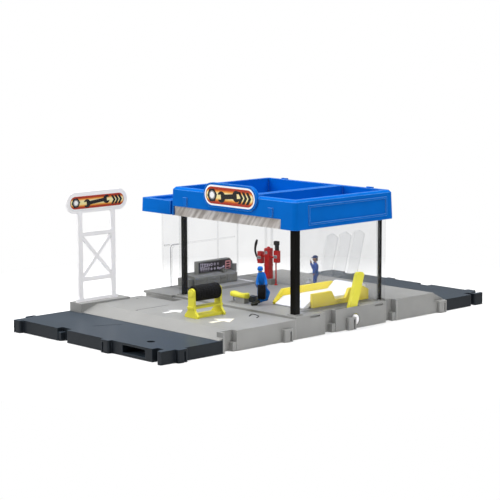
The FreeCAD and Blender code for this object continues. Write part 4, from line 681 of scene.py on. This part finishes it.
def add_roller():
    count = 9
    low, high = -90.3, -67.4
    x, z = 25.75, 31.9
    pitch = (high - low) / count
    profile = []
    for i in range(count):
        start = i * pitch
        profile += [(5.25, start + 0.02), (5.7, start + 0.3), (5.8, start + 0.6), (5.8, start + 0.9),
                    (5.45, start + 1.02), (5.45, start + 1.28), (5.8, start + 1.4),
                    (5.8, start + pitch - 0.75), (5.7, start + pitch - 0.3), (5.25, start + pitch - 0.02)]
    profile = [(0.0, 0.0), (3.2, 0.0), (3.6, 0.5), (4.0, 0.02)] + profile
    profile += [(3.9, high - low - 0.02), (3.5, high - low - 0.5), (3.1, high - low), (0.0, high - low)]
    bm = bmesh.new()
    lathe(bm, profile, around((x, low, z), (0, 1, 0)), 96,
          lambda index, i: 0.28 if i % 4 == 0 and profile[index][0] > 5.6 else 0.0)
    for start, out in ((low + 0.2, -1), (high - 0.2, 1)):
        lathe(bm, [(1.6, 0.0), (1.6, 1.4), (1.3, 1.7), (0.0, 1.7)], around((x, start, z), (0, out, 0)), 32)
    finish_piece("roller_tyres", bm, rubber, body="roller", replaces=["rack_roller"],
                 smooth=30)
    bm = bmesh.new()
    for start, out in ((-92.6, -1), (-65.1, 1)):
        lathe(bm, [(0.0, -0.3), (2.5, -0.3), (2.5, 0.2), (2.2, 0.45), (0.0, 0.5)],
              around((x, start, z), (0, out, 0)), 32)
    finish_piece("rack_bore_caps", bm, yellow)


# Figures, each from its own frame: it stands at the origin and faces -Y
def figure_place(x, y, z, turn):
    return Matrix.Translation((x, y, z)) @ Matrix.Rotation(turn, 4, "Z")


def add_figure_part(name, limbs, material, place, voxel=0.17, passes=3, replaces=()):
    bm = bmesh.new()
    for row in limbs:
        limb(bm, *row)
    bm = melted(bm, voxel, passes)
    bmesh.ops.transform(bm, matrix=place, verts=bm.verts)
    finish_piece(name, bm, material, replaces=replaces, smooth=180)


def hoop(radius, y, z, thick):
    # a ring of short limbs, such as a belt or a collar
    points = [(radius * math.cos(t), y + radius * math.sin(t), z)
              for t in (math.pi * i / 8 for i in range(17))]
    return [(start, end, thick, thick) for start, end in zip(points, points[1:])]


def add_cap(name, place, centre, size, material, nod=0.0):
    x, y, z = centre
    place = place @ Matrix.Translation(centre) @ Matrix.Rotation(nod, 4,
                                                                 "X") @ Matrix.Translation(-Vector(centre))
    bm = bmesh.new()
    crown = [(size * 0.97, -0.1), (size * 1.03, 0.1), (size * 1.0, 0.45), (size, 0.55), (size * 0.97, 0.9),
             (size * 0.84, 1.35), (size * 0.55, 1.68), (size * 0.2, 1.78), (0.0, 1.8)]
    lathe(bm, [(0.0, -0.1)] + crown, around((x, y, z), (0, 0, 1)), 36,
          lambda index, i: 0.05 if i % 6 == 0 and index > 4 else 0.0)
    limb(bm, (x, y, z + 1.75), (x, y, z + 1.85), 0.16, 0.16, 10)
    brim = [(x + size * 0.86 * math.sin(t), y - size * 0.5 - size * 1.05 * math.cos(t))
            for t in (math.pi * (i / 14 - 0.5) for i in range(15))]
    slab(bm, brim, lambda u, v, w: (u, v, z + w - 0.08 * (y - v)), 0.0, 0.3)
    bmesh.ops.transform(bm, matrix=place, verts=bm.verts)
    finish_piece(name, bm, material, smooth=50)


def add_standing_figure():
    place = figure_place(13.05, 47.9, shop_floor, math.radians(-43.5))
    hip, chest, shoulder = 13.6, 19.4, 21.6
    overalls = [((0, 0.2, hip - 0.4), (0, 0.1, hip + 1.6), 2.35, 2.2),
                ((0, 0.1, 15.4), (0, 0, chest), 2.2, 2.55),
                ((-1.5, 0.1, shoulder - 0.9), (1.5, 0.1, shoulder - 0.9), 1.7, 1.7),
                ((-1.15, 0.5, hip - 0.6), (1.15, 0.5, hip - 0.6), 1.75, 1.75)]
    for side in (-1, 1):
        overalls += [((side * 1.25, 0.1, hip - 1), (side * 1.5, -0.3, 7.6), 1.75, 1.4),
                     ((side * 1.5, -0.3, 7.6), (side * 1.7, 0.2, 2.3), 1.4, 1.2),
                     ((side * 1.7, 0.2, 2.5), (side * 1.7, 0.2, 1.9), 1.4, 1.45)]
    overalls += [((-2.6, 0.1, 21), (-4.1, -1.9, 17.7), 1.2, 1.0),
                 ((-4.1, -1.9, 17.7), (-4.5, -3.0, 20.6), 1.0, 0.85),
                 ((-4.5, -3.0, 20.4), (-4.5, -3.05, 20.7), 0.98, 0.98),
                 ((2.6, 0.1, 21), (3.7, 0.2, 17.5), 1.2, 1.0),
                 ((3.7, 0.2, 17.5), (3.4, -1.0, 14.9), 1.0, 0.85),
                 ((3.4, -0.9, 15.1), (3.38, -1.1, 14.8), 0.98, 0.98)]
    add_figure_part("standing_overalls", overalls, dusk_blue, place, replaces=["mechanic_standing"])
    belt = hoop(1.75, 0.1, 15.1, 0.66)
    details = belt + [((-1.0, -2.15, 19.1), (-0.2, -2.3, 19.1), 0.42, 0.42),
                      ((0.2, -2.3, 17.8), (0.2, -2.1, 20.6), 0.2, 0.2),
                      ((-0.9, -0.9, 22.7), (0.0, -1.3, 22.2), 0.4, 0.4),
                      ((0.9, -0.9, 22.7), (0.0, -1.3, 22.2), 0.4, 0.4)]
    add_figure_part("standing_belt_and_collar", details, trouser_blue, place, voxel=0.12, passes=1)
    skin = [((0, 0.1, 22), (0, -0.1, 23.6), 0.95, 0.95), ((0, -0.15, 24.9), (0, -0.1, 25.7), 1.75, 1.85),
            ((0, -0.5, 24.3), (0, -0.55, 24.4), 1.35, 1.3),
            ((0, -1.85, 25.0), (0, -2.05, 24.8), 0.32, 0.34),
            ((-1.85, 0, 25.1), (-1.9, 0, 25.4), 0.36, 0.4), ((1.85, 0, 25.1), (1.9, 0, 25.4), 0.36, 0.4),
            ((-4.5, -3.15, 21.3), (-4.4, -3.3, 22.2), 0.68, 0.62),
            ((-4.0, -3.6, 21.9), (-4.0, -3.5, 22.6), 0.3, 0.26),
            ((-4.7, -3.1, 22.3), (-4.5, -3.2, 23.2), 0.3, 0.24),
            ((3.35, -1.25, 14.2), (3.3, -1.5, 13.3), 0.66, 0.6),
            ((2.9, -1.7, 13.7), (2.85, -1.75, 13.1), 0.28, 0.24)]
    add_figure_part("standing_skin", skin, skin_paint, place, voxel=0.12, passes=2)
    face = [((-0.62, -1.85, 25.35), (-0.62, -1.9, 25.4), 0.17, 0.17),
            ((0.62, -1.85, 25.35), (0.62, -1.9, 25.4), 0.17, 0.17),
            ((-0.45, -1.72, 24.1), (0.45, -1.72, 24.1), 0.1, 0.1),
            ((-1.2, 0.9, 25.2), (1.2, 0.9, 25.2), 1.05, 1.05),
            ((-0.9, 1.1, 24.3), (0.9, 1.1, 24.3), 0.8, 0.8)]
    add_figure_part("standing_hair_and_eyes", face, hair_paint, place, voxel=0.1, passes=1)
    add_cap("standing_cap", place, (0, -0.05, 26.15), 2.12, cap_blue)
    boots = []
    for side in (-1, 1):
        boots += [((side * 1.7, 0.3, 1.6), (side * 1.7, 0.1, 0.95), 1.15, 0.95),
                  ((side * 1.7, 0.5, 0.75), (side * 1.75, -1.9, 0.7), 0.75, 0.7),
                  ((side * 1.7, 0.8, 0.3), (side * 1.75, -2.1, 0.3), 0.3, 0.3)]
    add_figure_part("standing_boots", boots, boot_paint, place, voxel=0.13, passes=1)
    bm = bmesh.new()
    block(bm, (-4.75, -4.0, 21.4), (-4.05, -3.7, 24.6), 0.12)
    bmesh.ops.transform(bm, matrix=place, verts=bm.verts)
    finish_piece("standing_gauge", bm, print_grey)


def add_carrying_figure():
    floor_place = figure_place(24.0, -22.0, shop_floor, math.radians(46.6))
    place = floor_place @ Matrix.Scale(1.03, 4)
    jacket = [((0.9, 0.4, 13.9), (0.8, 0.2, 18.4), 2.2, 2.3),
              ((0.8, 0.2, 18.4), (0.7, 0.0, 21.4), 2.3, 2.1),
              ((-0.3, 0.0, 21.6), (1.9, 0.1, 21.6), 1.6, 1.6),
              ((-0.9, 0, 21.5), (-1.9, -1.6, 17.6), 1.2, 1.1),
              ((-1.9, -1.6, 17.6), (-2.5, -4.2, 14.6), 1.1, 0.9),
              ((-2.47, -4.0, 14.8), (-2.53, -4.3, 14.5), 1.0, 1.0),
              ((2.6, 0.2, 21.5), (3.7, -1.2, 17.6), 1.2, 1.1),
              ((3.7, -1.2, 17.6), (4.4, -4.2, 14.6), 1.1, 0.9),
              ((4.37, -4.0, 14.8), (4.43, -4.3, 14.5), 1.0, 1.0),
              ((0.9, 0.5, 13.4), (0.9, 0.4, 13.9), 2.3, 2.3)]
    add_figure_part("carrying_jacket", jacket, overall_blue, place, replaces=["mechanic_carrying"])
    trousers = [((0.0, 0.8, 12.6), (1.8, 0.6, 12.6), 1.9, 1.9),
                ((2.0, 0.4, 12.4), (5.6, -3.0, 8.6), 1.8, 1.55),
                ((5.6, -3.0, 8.6), (4.4, -4.5, 4.0), 1.55, 1.3),
                ((4.4, -4.5, 4.0), (0.4, -5.6, 3.2), 1.3, 1.25),
                ((0.6, -5.6, 3.2), (0.0, -5.8, 3.1), 1.4, 1.4),
                ((-0.3, 0.9, 12.3), (-0.8, 2.1, 7.2), 1.8, 1.45),
                ((-0.8, 2.1, 7.2), (-0.6, 2.9, 2.8), 1.45, 1.2),
                ((-0.6, 2.9, 3.0), (-0.6, 2.9, 2.3), 1.35, 1.4)]
    add_figure_part("carrying_trousers", trousers, trouser_blue, place)
    boots = [((-0.7, -6.0, 2.9), (-2.8, -7.2, 2.0), 1.25, 1.35),
             ((-2.8, -7.2, 1.8), (-5.9, -9.2, 1.3), 1.45, 1.15),
             ((-2.4, -7.7, 0.5), (-6.1, -9.5, 0.5), 0.5, 0.5),
             ((-2.6, -6.7, 0.6), (-5.9, -8.6, 0.6), 0.55, 0.5),
             ((-0.6, 3.1, 2.2), (-0.6, 3.0, 1.3), 1.2, 1.1),
             ((-0.6, 3.4, 0.9), (-0.7, 1.2, 0.8), 0.85, 0.8),
             ((-0.6, 3.9, 0.35), (-0.7, 0.9, 0.35), 0.35, 0.35)]
    add_figure_part("carrying_boots", boots, boot_paint, place, voxel=0.13, passes=1)
    skin = [((0.2, -0.1, 22.4), (0.05, -0.3, 24.4), 0.95, 0.9),
            ((0, -0.4, 24.9), (0, -0.4, 25.7), 1.6, 1.72),
            ((0, -0.8, 24.4), (0, -0.85, 24.5), 1.25, 1.2), ((0, -2.0, 25.1), (0, -2.15, 24.9), 0.3, 0.32),
            ((-1.7, -0.3, 25.0), (-1.75, -0.3, 25.3), 0.34, 0.38),
            ((1.7, -0.3, 25.0), (1.75, -0.3, 25.3), 0.34, 0.38)]
    add_figure_part("carrying_skin", skin, skin_paint, place, voxel=0.12, passes=2)
    face = [((-0.58, -2.0, 25.35), (-0.58, -2.05, 25.4), 0.16, 0.16),
            ((0.58, -2.0, 25.35), (0.58, -2.05, 25.4), 0.16, 0.16),
            ((-0.4, -1.95, 24.25), (0.4, -1.95, 24.25), 0.1, 0.1),
            ((-1.1, 0.5, 25.0), (1.1, 0.5, 25.0), 1.0, 1.0)]
    add_figure_part("carrying_hair_and_eyes", face, hair_paint, place, voxel=0.1, passes=1)
    collar = hoop(1.15, -0.15, 23.5, 0.5)
    add_figure_part("carrying_collar", collar, collar_paint, place, voxel=0.13, passes=1)
    gloves = []
    for side, x in ((-1, -2.7), (1, 4.65)):
        gloves += [((x + side * 0.15, -4.5, 14.5), (x - side * 0.1, -5.2, 13.9), 0.8, 0.72),
                   ((x - side * 0.5, -5.2, 14.1), (x - side * 0.55, -6.1, 13.6), 0.34, 0.3),
                   ((x - side * 0.1, -5.3, 13.6), (x - side * 0.15, -6.1, 12.9), 0.34, 0.3)]
    add_figure_part("carrying_gloves", gloves, glove_paint, place, voxel=0.12, passes=1)
    add_cap("carrying_cap", place, (0, -0.75, 25.5), 2.02, overall_blue, math.radians(20.0))
    bm = bmesh.new()
    start = Vector((1.0 - 3.0, -5.4, 9.6))
    lathe(bm, tyre_profile(6.0, 5.5, 2.8), around(start, (1, 0, 0)), 84,
          lambda index, i: 0.35 if i % 4 == 0 and index in (5, 6, 9, 10, 13, 14) else 0.0)
    bmesh.ops.remove_doubles(bm, verts=bm.verts, dist=1e-4)
    bmesh.ops.transform(bm, matrix=floor_place, verts=bm.verts)
    finish_piece("carried_tyre_tread", bm, rubber, replaces=["carried_tyre"], smooth=30)


# Workbench: drawers and a vice in the bench's own grey, and loose tools on its sloping top
def add_bench_details():
    face = -54.25
    bm = bmesh.new()
    for y0, y1 in ((-16.4, -6.4), (-5.2, 8.2), (9.4, 15.6)):
        for z0, z1 in ((19.3, 22.0), (22.5, 24.9)):
            slab(bm, rounded(y0, y1, z0, z1, 0.5), on_right(face), -0.1, 0.35)
            middle = (y0 + y1) / 2
            tube(bm, [(face + 0.3, middle - 1.6, z1 - 0.9), (face + 0.85, middle - 1.3, z1 - 0.9),
                      (face + 0.85, middle + 1.3, z1 - 0.9), (face + 0.3, middle + 1.6, z1 - 0.9)],
                      [0.18, 0.18], 10, 5)
    slab(bm, rounded(17.0, 26.6, 19.3, 24.9, 0.6), on_right(face), -0.1, 0.3)
    arc = ring_points(6.6, 14, math.radians(100), math.radians(172), 26.0, 19.5)
    slab(bm, arc + ring_points(6.0, 14, math.radians(172), math.radians(100), 26.0, 19.5), on_right(face),
         0.25, 0.55)
    block(bm, (-58.2, 14.0, 26.4), (-55.6, 17.2, 28.2), 0.3)
    block(bm, (-58.4, 13.2, 28.0), (-55.4, 14.4, 29.6), 0.3)
    block(bm, (-58.4, 15.4, 28.0), (-55.4, 16.6, 29.6), 0.3)
    limb(bm, (-56.9, 16.6, 28.6), (-56.9, 19.2, 28.6), 0.35, 0.35, 12)
    limb(bm, (-57.9, 19.0, 28.6), (-55.9, 19.0, 28.6), 0.22, 0.22, 10)
    finish_piece("bench_drawers_and_vice", bm, bench_grey)
    bm = bmesh.new()
    for u, v, turn, kind in ((-57.6, -9.5, 1.1, 0), (-56.8, -3.0, 1.4, 1), (-58.0, 3.4, 1.7, 0),
                             (-57.0, 8.5, 1.4, 1)):
        flat = spanner(5.6, 0.8, 0.32, 0.36) if kind == 0 else [(-2.8, -0.25), (0.6, -0.3), (0.6, -0.6),
                                                                (3.0, -0.6),
                                                                   (3.0, 0.6), (0.6, 0.6), (0.6, 0.3),
                                                                   (-2.8, 0.25)]
        slope = 1.2 / 13.8
        slab(bm, turned(flat, turn, u, v), lambda a, b, w: (a, b, 26.55 - (a + 55.4) * slope + w), -0.15,
             0.45)
    finish_piece("bench_loose_tools", bm, print_grey)


# A generic printed board of tools behind the bench
def add_tool_board():
    place = on_right(-59.85)
    board = [(-8.5, 27.9), (26.1, 27.9), (26.1, 34.0), (23.9, 36.2), (-8.5, 36.2)]
    add_slabs("tool_board_print", [board], place, 0.0, 0.18, tool_print, ["tool_board"])
    upright = math.pi / 2
    driver = [(-1.7, -0.16), (-0.2, -0.16), (-0.2, -0.5), (1.5, -0.5), (1.5, 0.5), (-0.2, 0.5),
              (-0.2, 0.16), (-1.7, 0.16)]
    tools = [turned(spanner(4.4 - i * 0.35, 0.62, 0.26, 0.28), upright, -6.6 + i * 1.75, 33.6)
             for i in range(6)]
    tools += [turned(driver, upright, -6.4 + i * 2.05, 30.2) for i in range(5)]
    for i in range(3):
        at = 4.6 + i * 3.5
        tools += [cog(at, 33.7, 1.25 - i * 0.18, 0.25, 9), cog(at, 30.2, 1.1, 0.5, 9)]
    tools.append(turned(spanner(6.6, 0.9, 0.36, 0.4), 0.25, 15.6, 30.2))
    add_slabs("tool_board_tools", tools, place, 0.18, 0.25, tool_lilac)
    add_slabs("tool_board_panel", [rounded(19.4, 25.2, 28.6, 35.2, 0.8)], place, 0.18, 0.24, tool_red)
    bm = bmesh.new()
    for z in (29.6, 31.6, 33.6):
        slab(bm, rounded(20.5, 24.2, z - 0.55, z + 0.55, 0.4), place, 0.24, 0.3)
    for i in range(3):
        slab(bm, ring_points(0.6 - i * 0.06, 16, u=4.6 + i * 3.5, v=33.7), place, 0.25, 0.3)
    slab(bm, rounded(14.4, 15.2, 31.8, 35.4, 0.3), place, 0.18, 0.24)
    finish_piece("tool_board_dark", bm, print_black)


# Service machine: dials, bands, a smoother hose, and a gun with a trigger
def add_machine_details():
    x, y, floor = -36.75, 45.4, shop_floor
    left, right, left_foot, right_foot, column = x - 9.0, x + 9.6, 32.0, 34.4, 2.4
    bm = bmesh.new()
    for at, foot in ((left, left_foot), (right, right_foot)):
        slab(bm, rounded(at - 1.9, at + 1.9, foot + 3.6, foot + 6.0, 0.4), on_front(y - 1.7), -0.05, 0.25)
    slab(bm, ring_points(1.3, 24, u=x, v=41.6), on_front(y - column), -0.05, 0.3)
    finish_piece("machine_panels", bm, print_grey)
    bm = bmesh.new()
    for at, foot in ((left, left_foot), (right, right_foot)):
        for side in (-0.9, 0.1, 1.1):
            slab(bm, ring_points(0.32, 14, u=at + side * 0.9, v=foot + 4.8), on_front(y - 1.95), -0.05,
                 0.15)
    slab(bm, turned([(-0.1, -0.1), (1.0, -0.06), (1.0, 0.06), (-0.1, 0.1)], 0.9, x, 41.6),
         on_front(y - column - 0.3), -0.05, 0.1)
    finish_piece("machine_knobs", bm, black)
    bm = bmesh.new()
    limb(bm, (x, y, 44.4), (x, y, 44.8), 2.2, 1.6, 24)
    limb(bm, (right - 1.1, y, floor + 0.6), (right - 1.1, y, right_foot + 0.6), 0.55, 0.55, 16)
    lathe(bm, [(0.0, 0.0), (1.5, 0.0), (1.5, 0.35), (1.0, 0.6), (0.6, 0.9), (0.0, 0.9)],
          around((right - 1.1, y, floor), (0, 0, 1)), 28)
    for z in (22.4, 31.0, 43.0):
        slab(bm, rounded(x - column - 0.25, x + column + 0.25, z, z + 0.8, 0.2),
             on_front(y - column - 0.25),
             -2 * column - 0.5, 0.0)
    finish_piece("machine_stem", bm, red)
    bm = bmesh.new()
    face = left - 2.2
    start = Vector((face - 0.8, y, left_foot + 3.4))
    bend = [start + Vector(v) for v in ((0.3, 0, -1.4), (0, 0, 0), (-2.2, 0, 2.6), (-3.4, 0, 6.0),
                                        (-3.2, 0, 9.2),
                                        (-2.4, 0, 12.0), (-1.3, 0, 15.0))]
    tube(bm, bend, [0.7, 0.76, 0.8, 0.82, 0.9, 1.15, 0.8], 20, 8)
    block(bm, (face - 1.6, y - 0.9, left_foot + 1.6), (face + 0.1, y + 0.9, left_foot + 4.4), 0.3)
    finish_piece("machine_hose_line", bm, black, replaces=["service_machine_hose"])
    bm = bmesh.new()
    grip = right_foot + 9.6
    block(bm, (right - 1.35, y - 1.2, grip - 0.05), (right + 1.35, y + 1.2, grip + 4.6), 0.35)
    block(bm, (right - 2.5, y - 1.6, grip + 4.2), (right + 1.7, y + 1.6, grip + 7.6), 0.5, 3)
    block(bm, (right - 2.45, y - 1.1, grip + 5.0), (right - 2.1, y + 1.1, grip + 6.8), 0.1)
    tube(bm, [(right + 1.0, y, grip + 1.0), (right + 1.65, y, grip + 1.9), (right + 1.6, y, grip + 3.2),
              (right + 1.1, y, grip + 4.4)], [0.28, 0.28], 10, 6)
    for z in (1.0, 2.0, 3.0):
        block(bm, (right - 1.45, y - 1.3, grip + z), (right + 1.45, y + 1.3, grip + z + 0.35), 0.1)
    finish_piece("machine_gun_body", bm, black, replaces=["service_machine_gun"])


# Two of the posts show as a slim black core in a clear sleeve
def add_sleeved_posts():
    for node, half, shift in (("column_front_left", 1.7, 0.35), ("column_rear_right", 1.15, -0.6)):
        low, high = [[c / MM for c in corner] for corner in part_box(node)]
        x, y = (low[0] + high[0]) / 2 + shift, (low[1] + high[1]) / 2 + shift
        bm = bmesh.new()
        block(bm, (x - half, y - half, low[2]), (x + half, y + half, high[2]), 0.25)
        finish_piece(node + "_core", bm, black_gloss)
        bm = bmesh.new()
        block(bm, low, high, 0.3)
        finish_piece(node + "_sleeve", bm, clear, replaces=[node])


# Light bars and mould lines that show in the clear walls
def add_wall_details():
    bottom, top, foot, lean = 40.0, 70.5, 12.2, 7.6
    bm = bmesh.new()
    for start in (-14.5, -0.3, 13.9):
        outline = [(start + 0.5, bottom + 0.4), (start + foot - 0.5, bottom + 0.4),
                   (start + foot + lean - 0.5, top - 2.2), (start + foot * 0.55 + lean, top + 1.2),
                   (start + lean + 0.5, top - 0.3)]
        slab(bm, outline, on_right(78.3), 0.0, 0.08)
    finish_piece("wall_bar_skins", bm, clear_bar)
    x = -80.9
    bm = bmesh.new()
    tube(bm, [(x, -19.6, 15.2), (x, -19.6, 30.0), (x, -19.6, 45.5), (x, -18.9, 48.4), (x, -16.6, 49.6),
              (x, -11.0, 49.4)], [0.25, 0.25], 8, 6)
    tube(bm, [(x, -26.5, 50.1), (x, -23.0, 49.9), (x, -20.4, 49.8)], [0.22, 0.22], 8, 4)
    finish_piece("wall_mould_lines", bm, clear_line)


# Small goods near the figures: the oil can and the tool chest
def add_small_goods():
    bm = bmesh.new()
    x, y, z = 6.2, 48.1, shop_floor
    can = [(0.0, 0.0), (2.3, 0.0), (2.6, 0.2), (2.6, 0.5), (2.45, 0.65), (2.45, 2.9), (2.55, 3.0),
           (2.45, 3.1),
           (2.45, 5.4), (2.6, 5.55), (2.6, 5.8), (2.3, 6.1), (1.5, 7.0), (0.85, 8.0), (0.8, 8.2),
           (0.95, 8.25),
           (0.95, 8.9), (0.8, 9.0), (0.0, 9.0)]
    lathe(bm, can, around((x, y, z), (0, 0, 1)), 40)
    tube(bm, [(x + 2.3, y, z + 5.0), (x + 3.3, y, z + 5.2), (x + 3.2, y, z + 2.4), (x + 2.3, y, z + 1.8)],
         [0.3, 0.3], 10, 8)
    finish_piece("oil_can_body", bm, can_grey, replaces=["oil_can"])
    low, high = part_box("tool_chest")
    (x0, y0, z0), (x1, y1, z1) = [tuple(c / MM for c in corner) for corner in (low, high)]
    bm = bmesh.new()
    block(bm, (x0, y0, z0), (x1, y1, z1 - 1.6), 0.35)
    block(bm, (x0 - 0.1, y0 - 0.1, z1 - 1.5), (x1 + 0.1, y1 + 0.1, z1 - 0.4), 0.3)
    middle = (x0 + x1) / 2
    tube(bm, [(middle - 1.6, (y0 + y1) / 2, z1 - 0.6), (middle - 1.4, (y0 + y1) / 2, z1 - 0.1),
              (middle + 1.4, (y0 + y1) / 2, z1 - 0.1), (middle + 1.6, (y0 + y1) / 2, z1 - 0.6)],
              [0.22, 0.22], 10, 6)
    for at in (middle - 1.5, middle + 1.5):
        slab(bm, rounded(at - 0.4, at + 0.4, z1 - 2.2, z1 - 1.0, 0.2), on_front(y0), -0.1, 0.25)
    finish_piece("tool_chest_body", bm, chest_grey, replaces=["tool_chest"])
    add_saddle()


def add_saddle():
    # the yellow cradle: a cushion-shaped rest with a hollow top and two end knobs
    x, y, z = 9.6, -29.4, 20.1
    half, deep, height = 8.8, 3.2, 4.8
    bm = bmesh.new()
    count = 28
    rows = []
    for i in range(count + 1):
        t = -1 + 2 * i / count
        end = max(0.0, 1 - abs(t) ** 7) ** 0.5
        width = deep * (0.42 + 0.58 * end)
        top = height * (0.66 + 0.34 * t * t) * (0.62 + 0.38 * end)
        rows.append((x + t * half, width, top))
    grid = []
    for at, width, top in rows:
        ring = []
        for v, w in rounded(-width, width, 0.0, top, min(1.5, width * 0.6)):
            ring.append(bm.verts.new((at, y + v, z + w)))
        grid.append(ring)
    bm.faces.new(grid[0])
    bm.faces.new(grid[-1][::-1])
    for first, second in zip(grid, grid[1:]):
        for n in range(len(first)):
            m = (n + 1) % len(first)
            bm.faces.new((first[n], first[m], second[m], second[n]))
    finish_piece("cradle_saddle", bm, yellow, replaces=["wheel_cradle"], smooth=60)


add_camera()
add_lights()
add_white_room()
add_floor()
paint_nodes()
add_signs()
add_forecourt_marks()
add_roller()
add_standing_figure()
add_carrying_figure()
add_bench_details()
add_tool_board()
add_machine_details()
add_wall_details()
add_sleeved_posts()
add_small_goods()
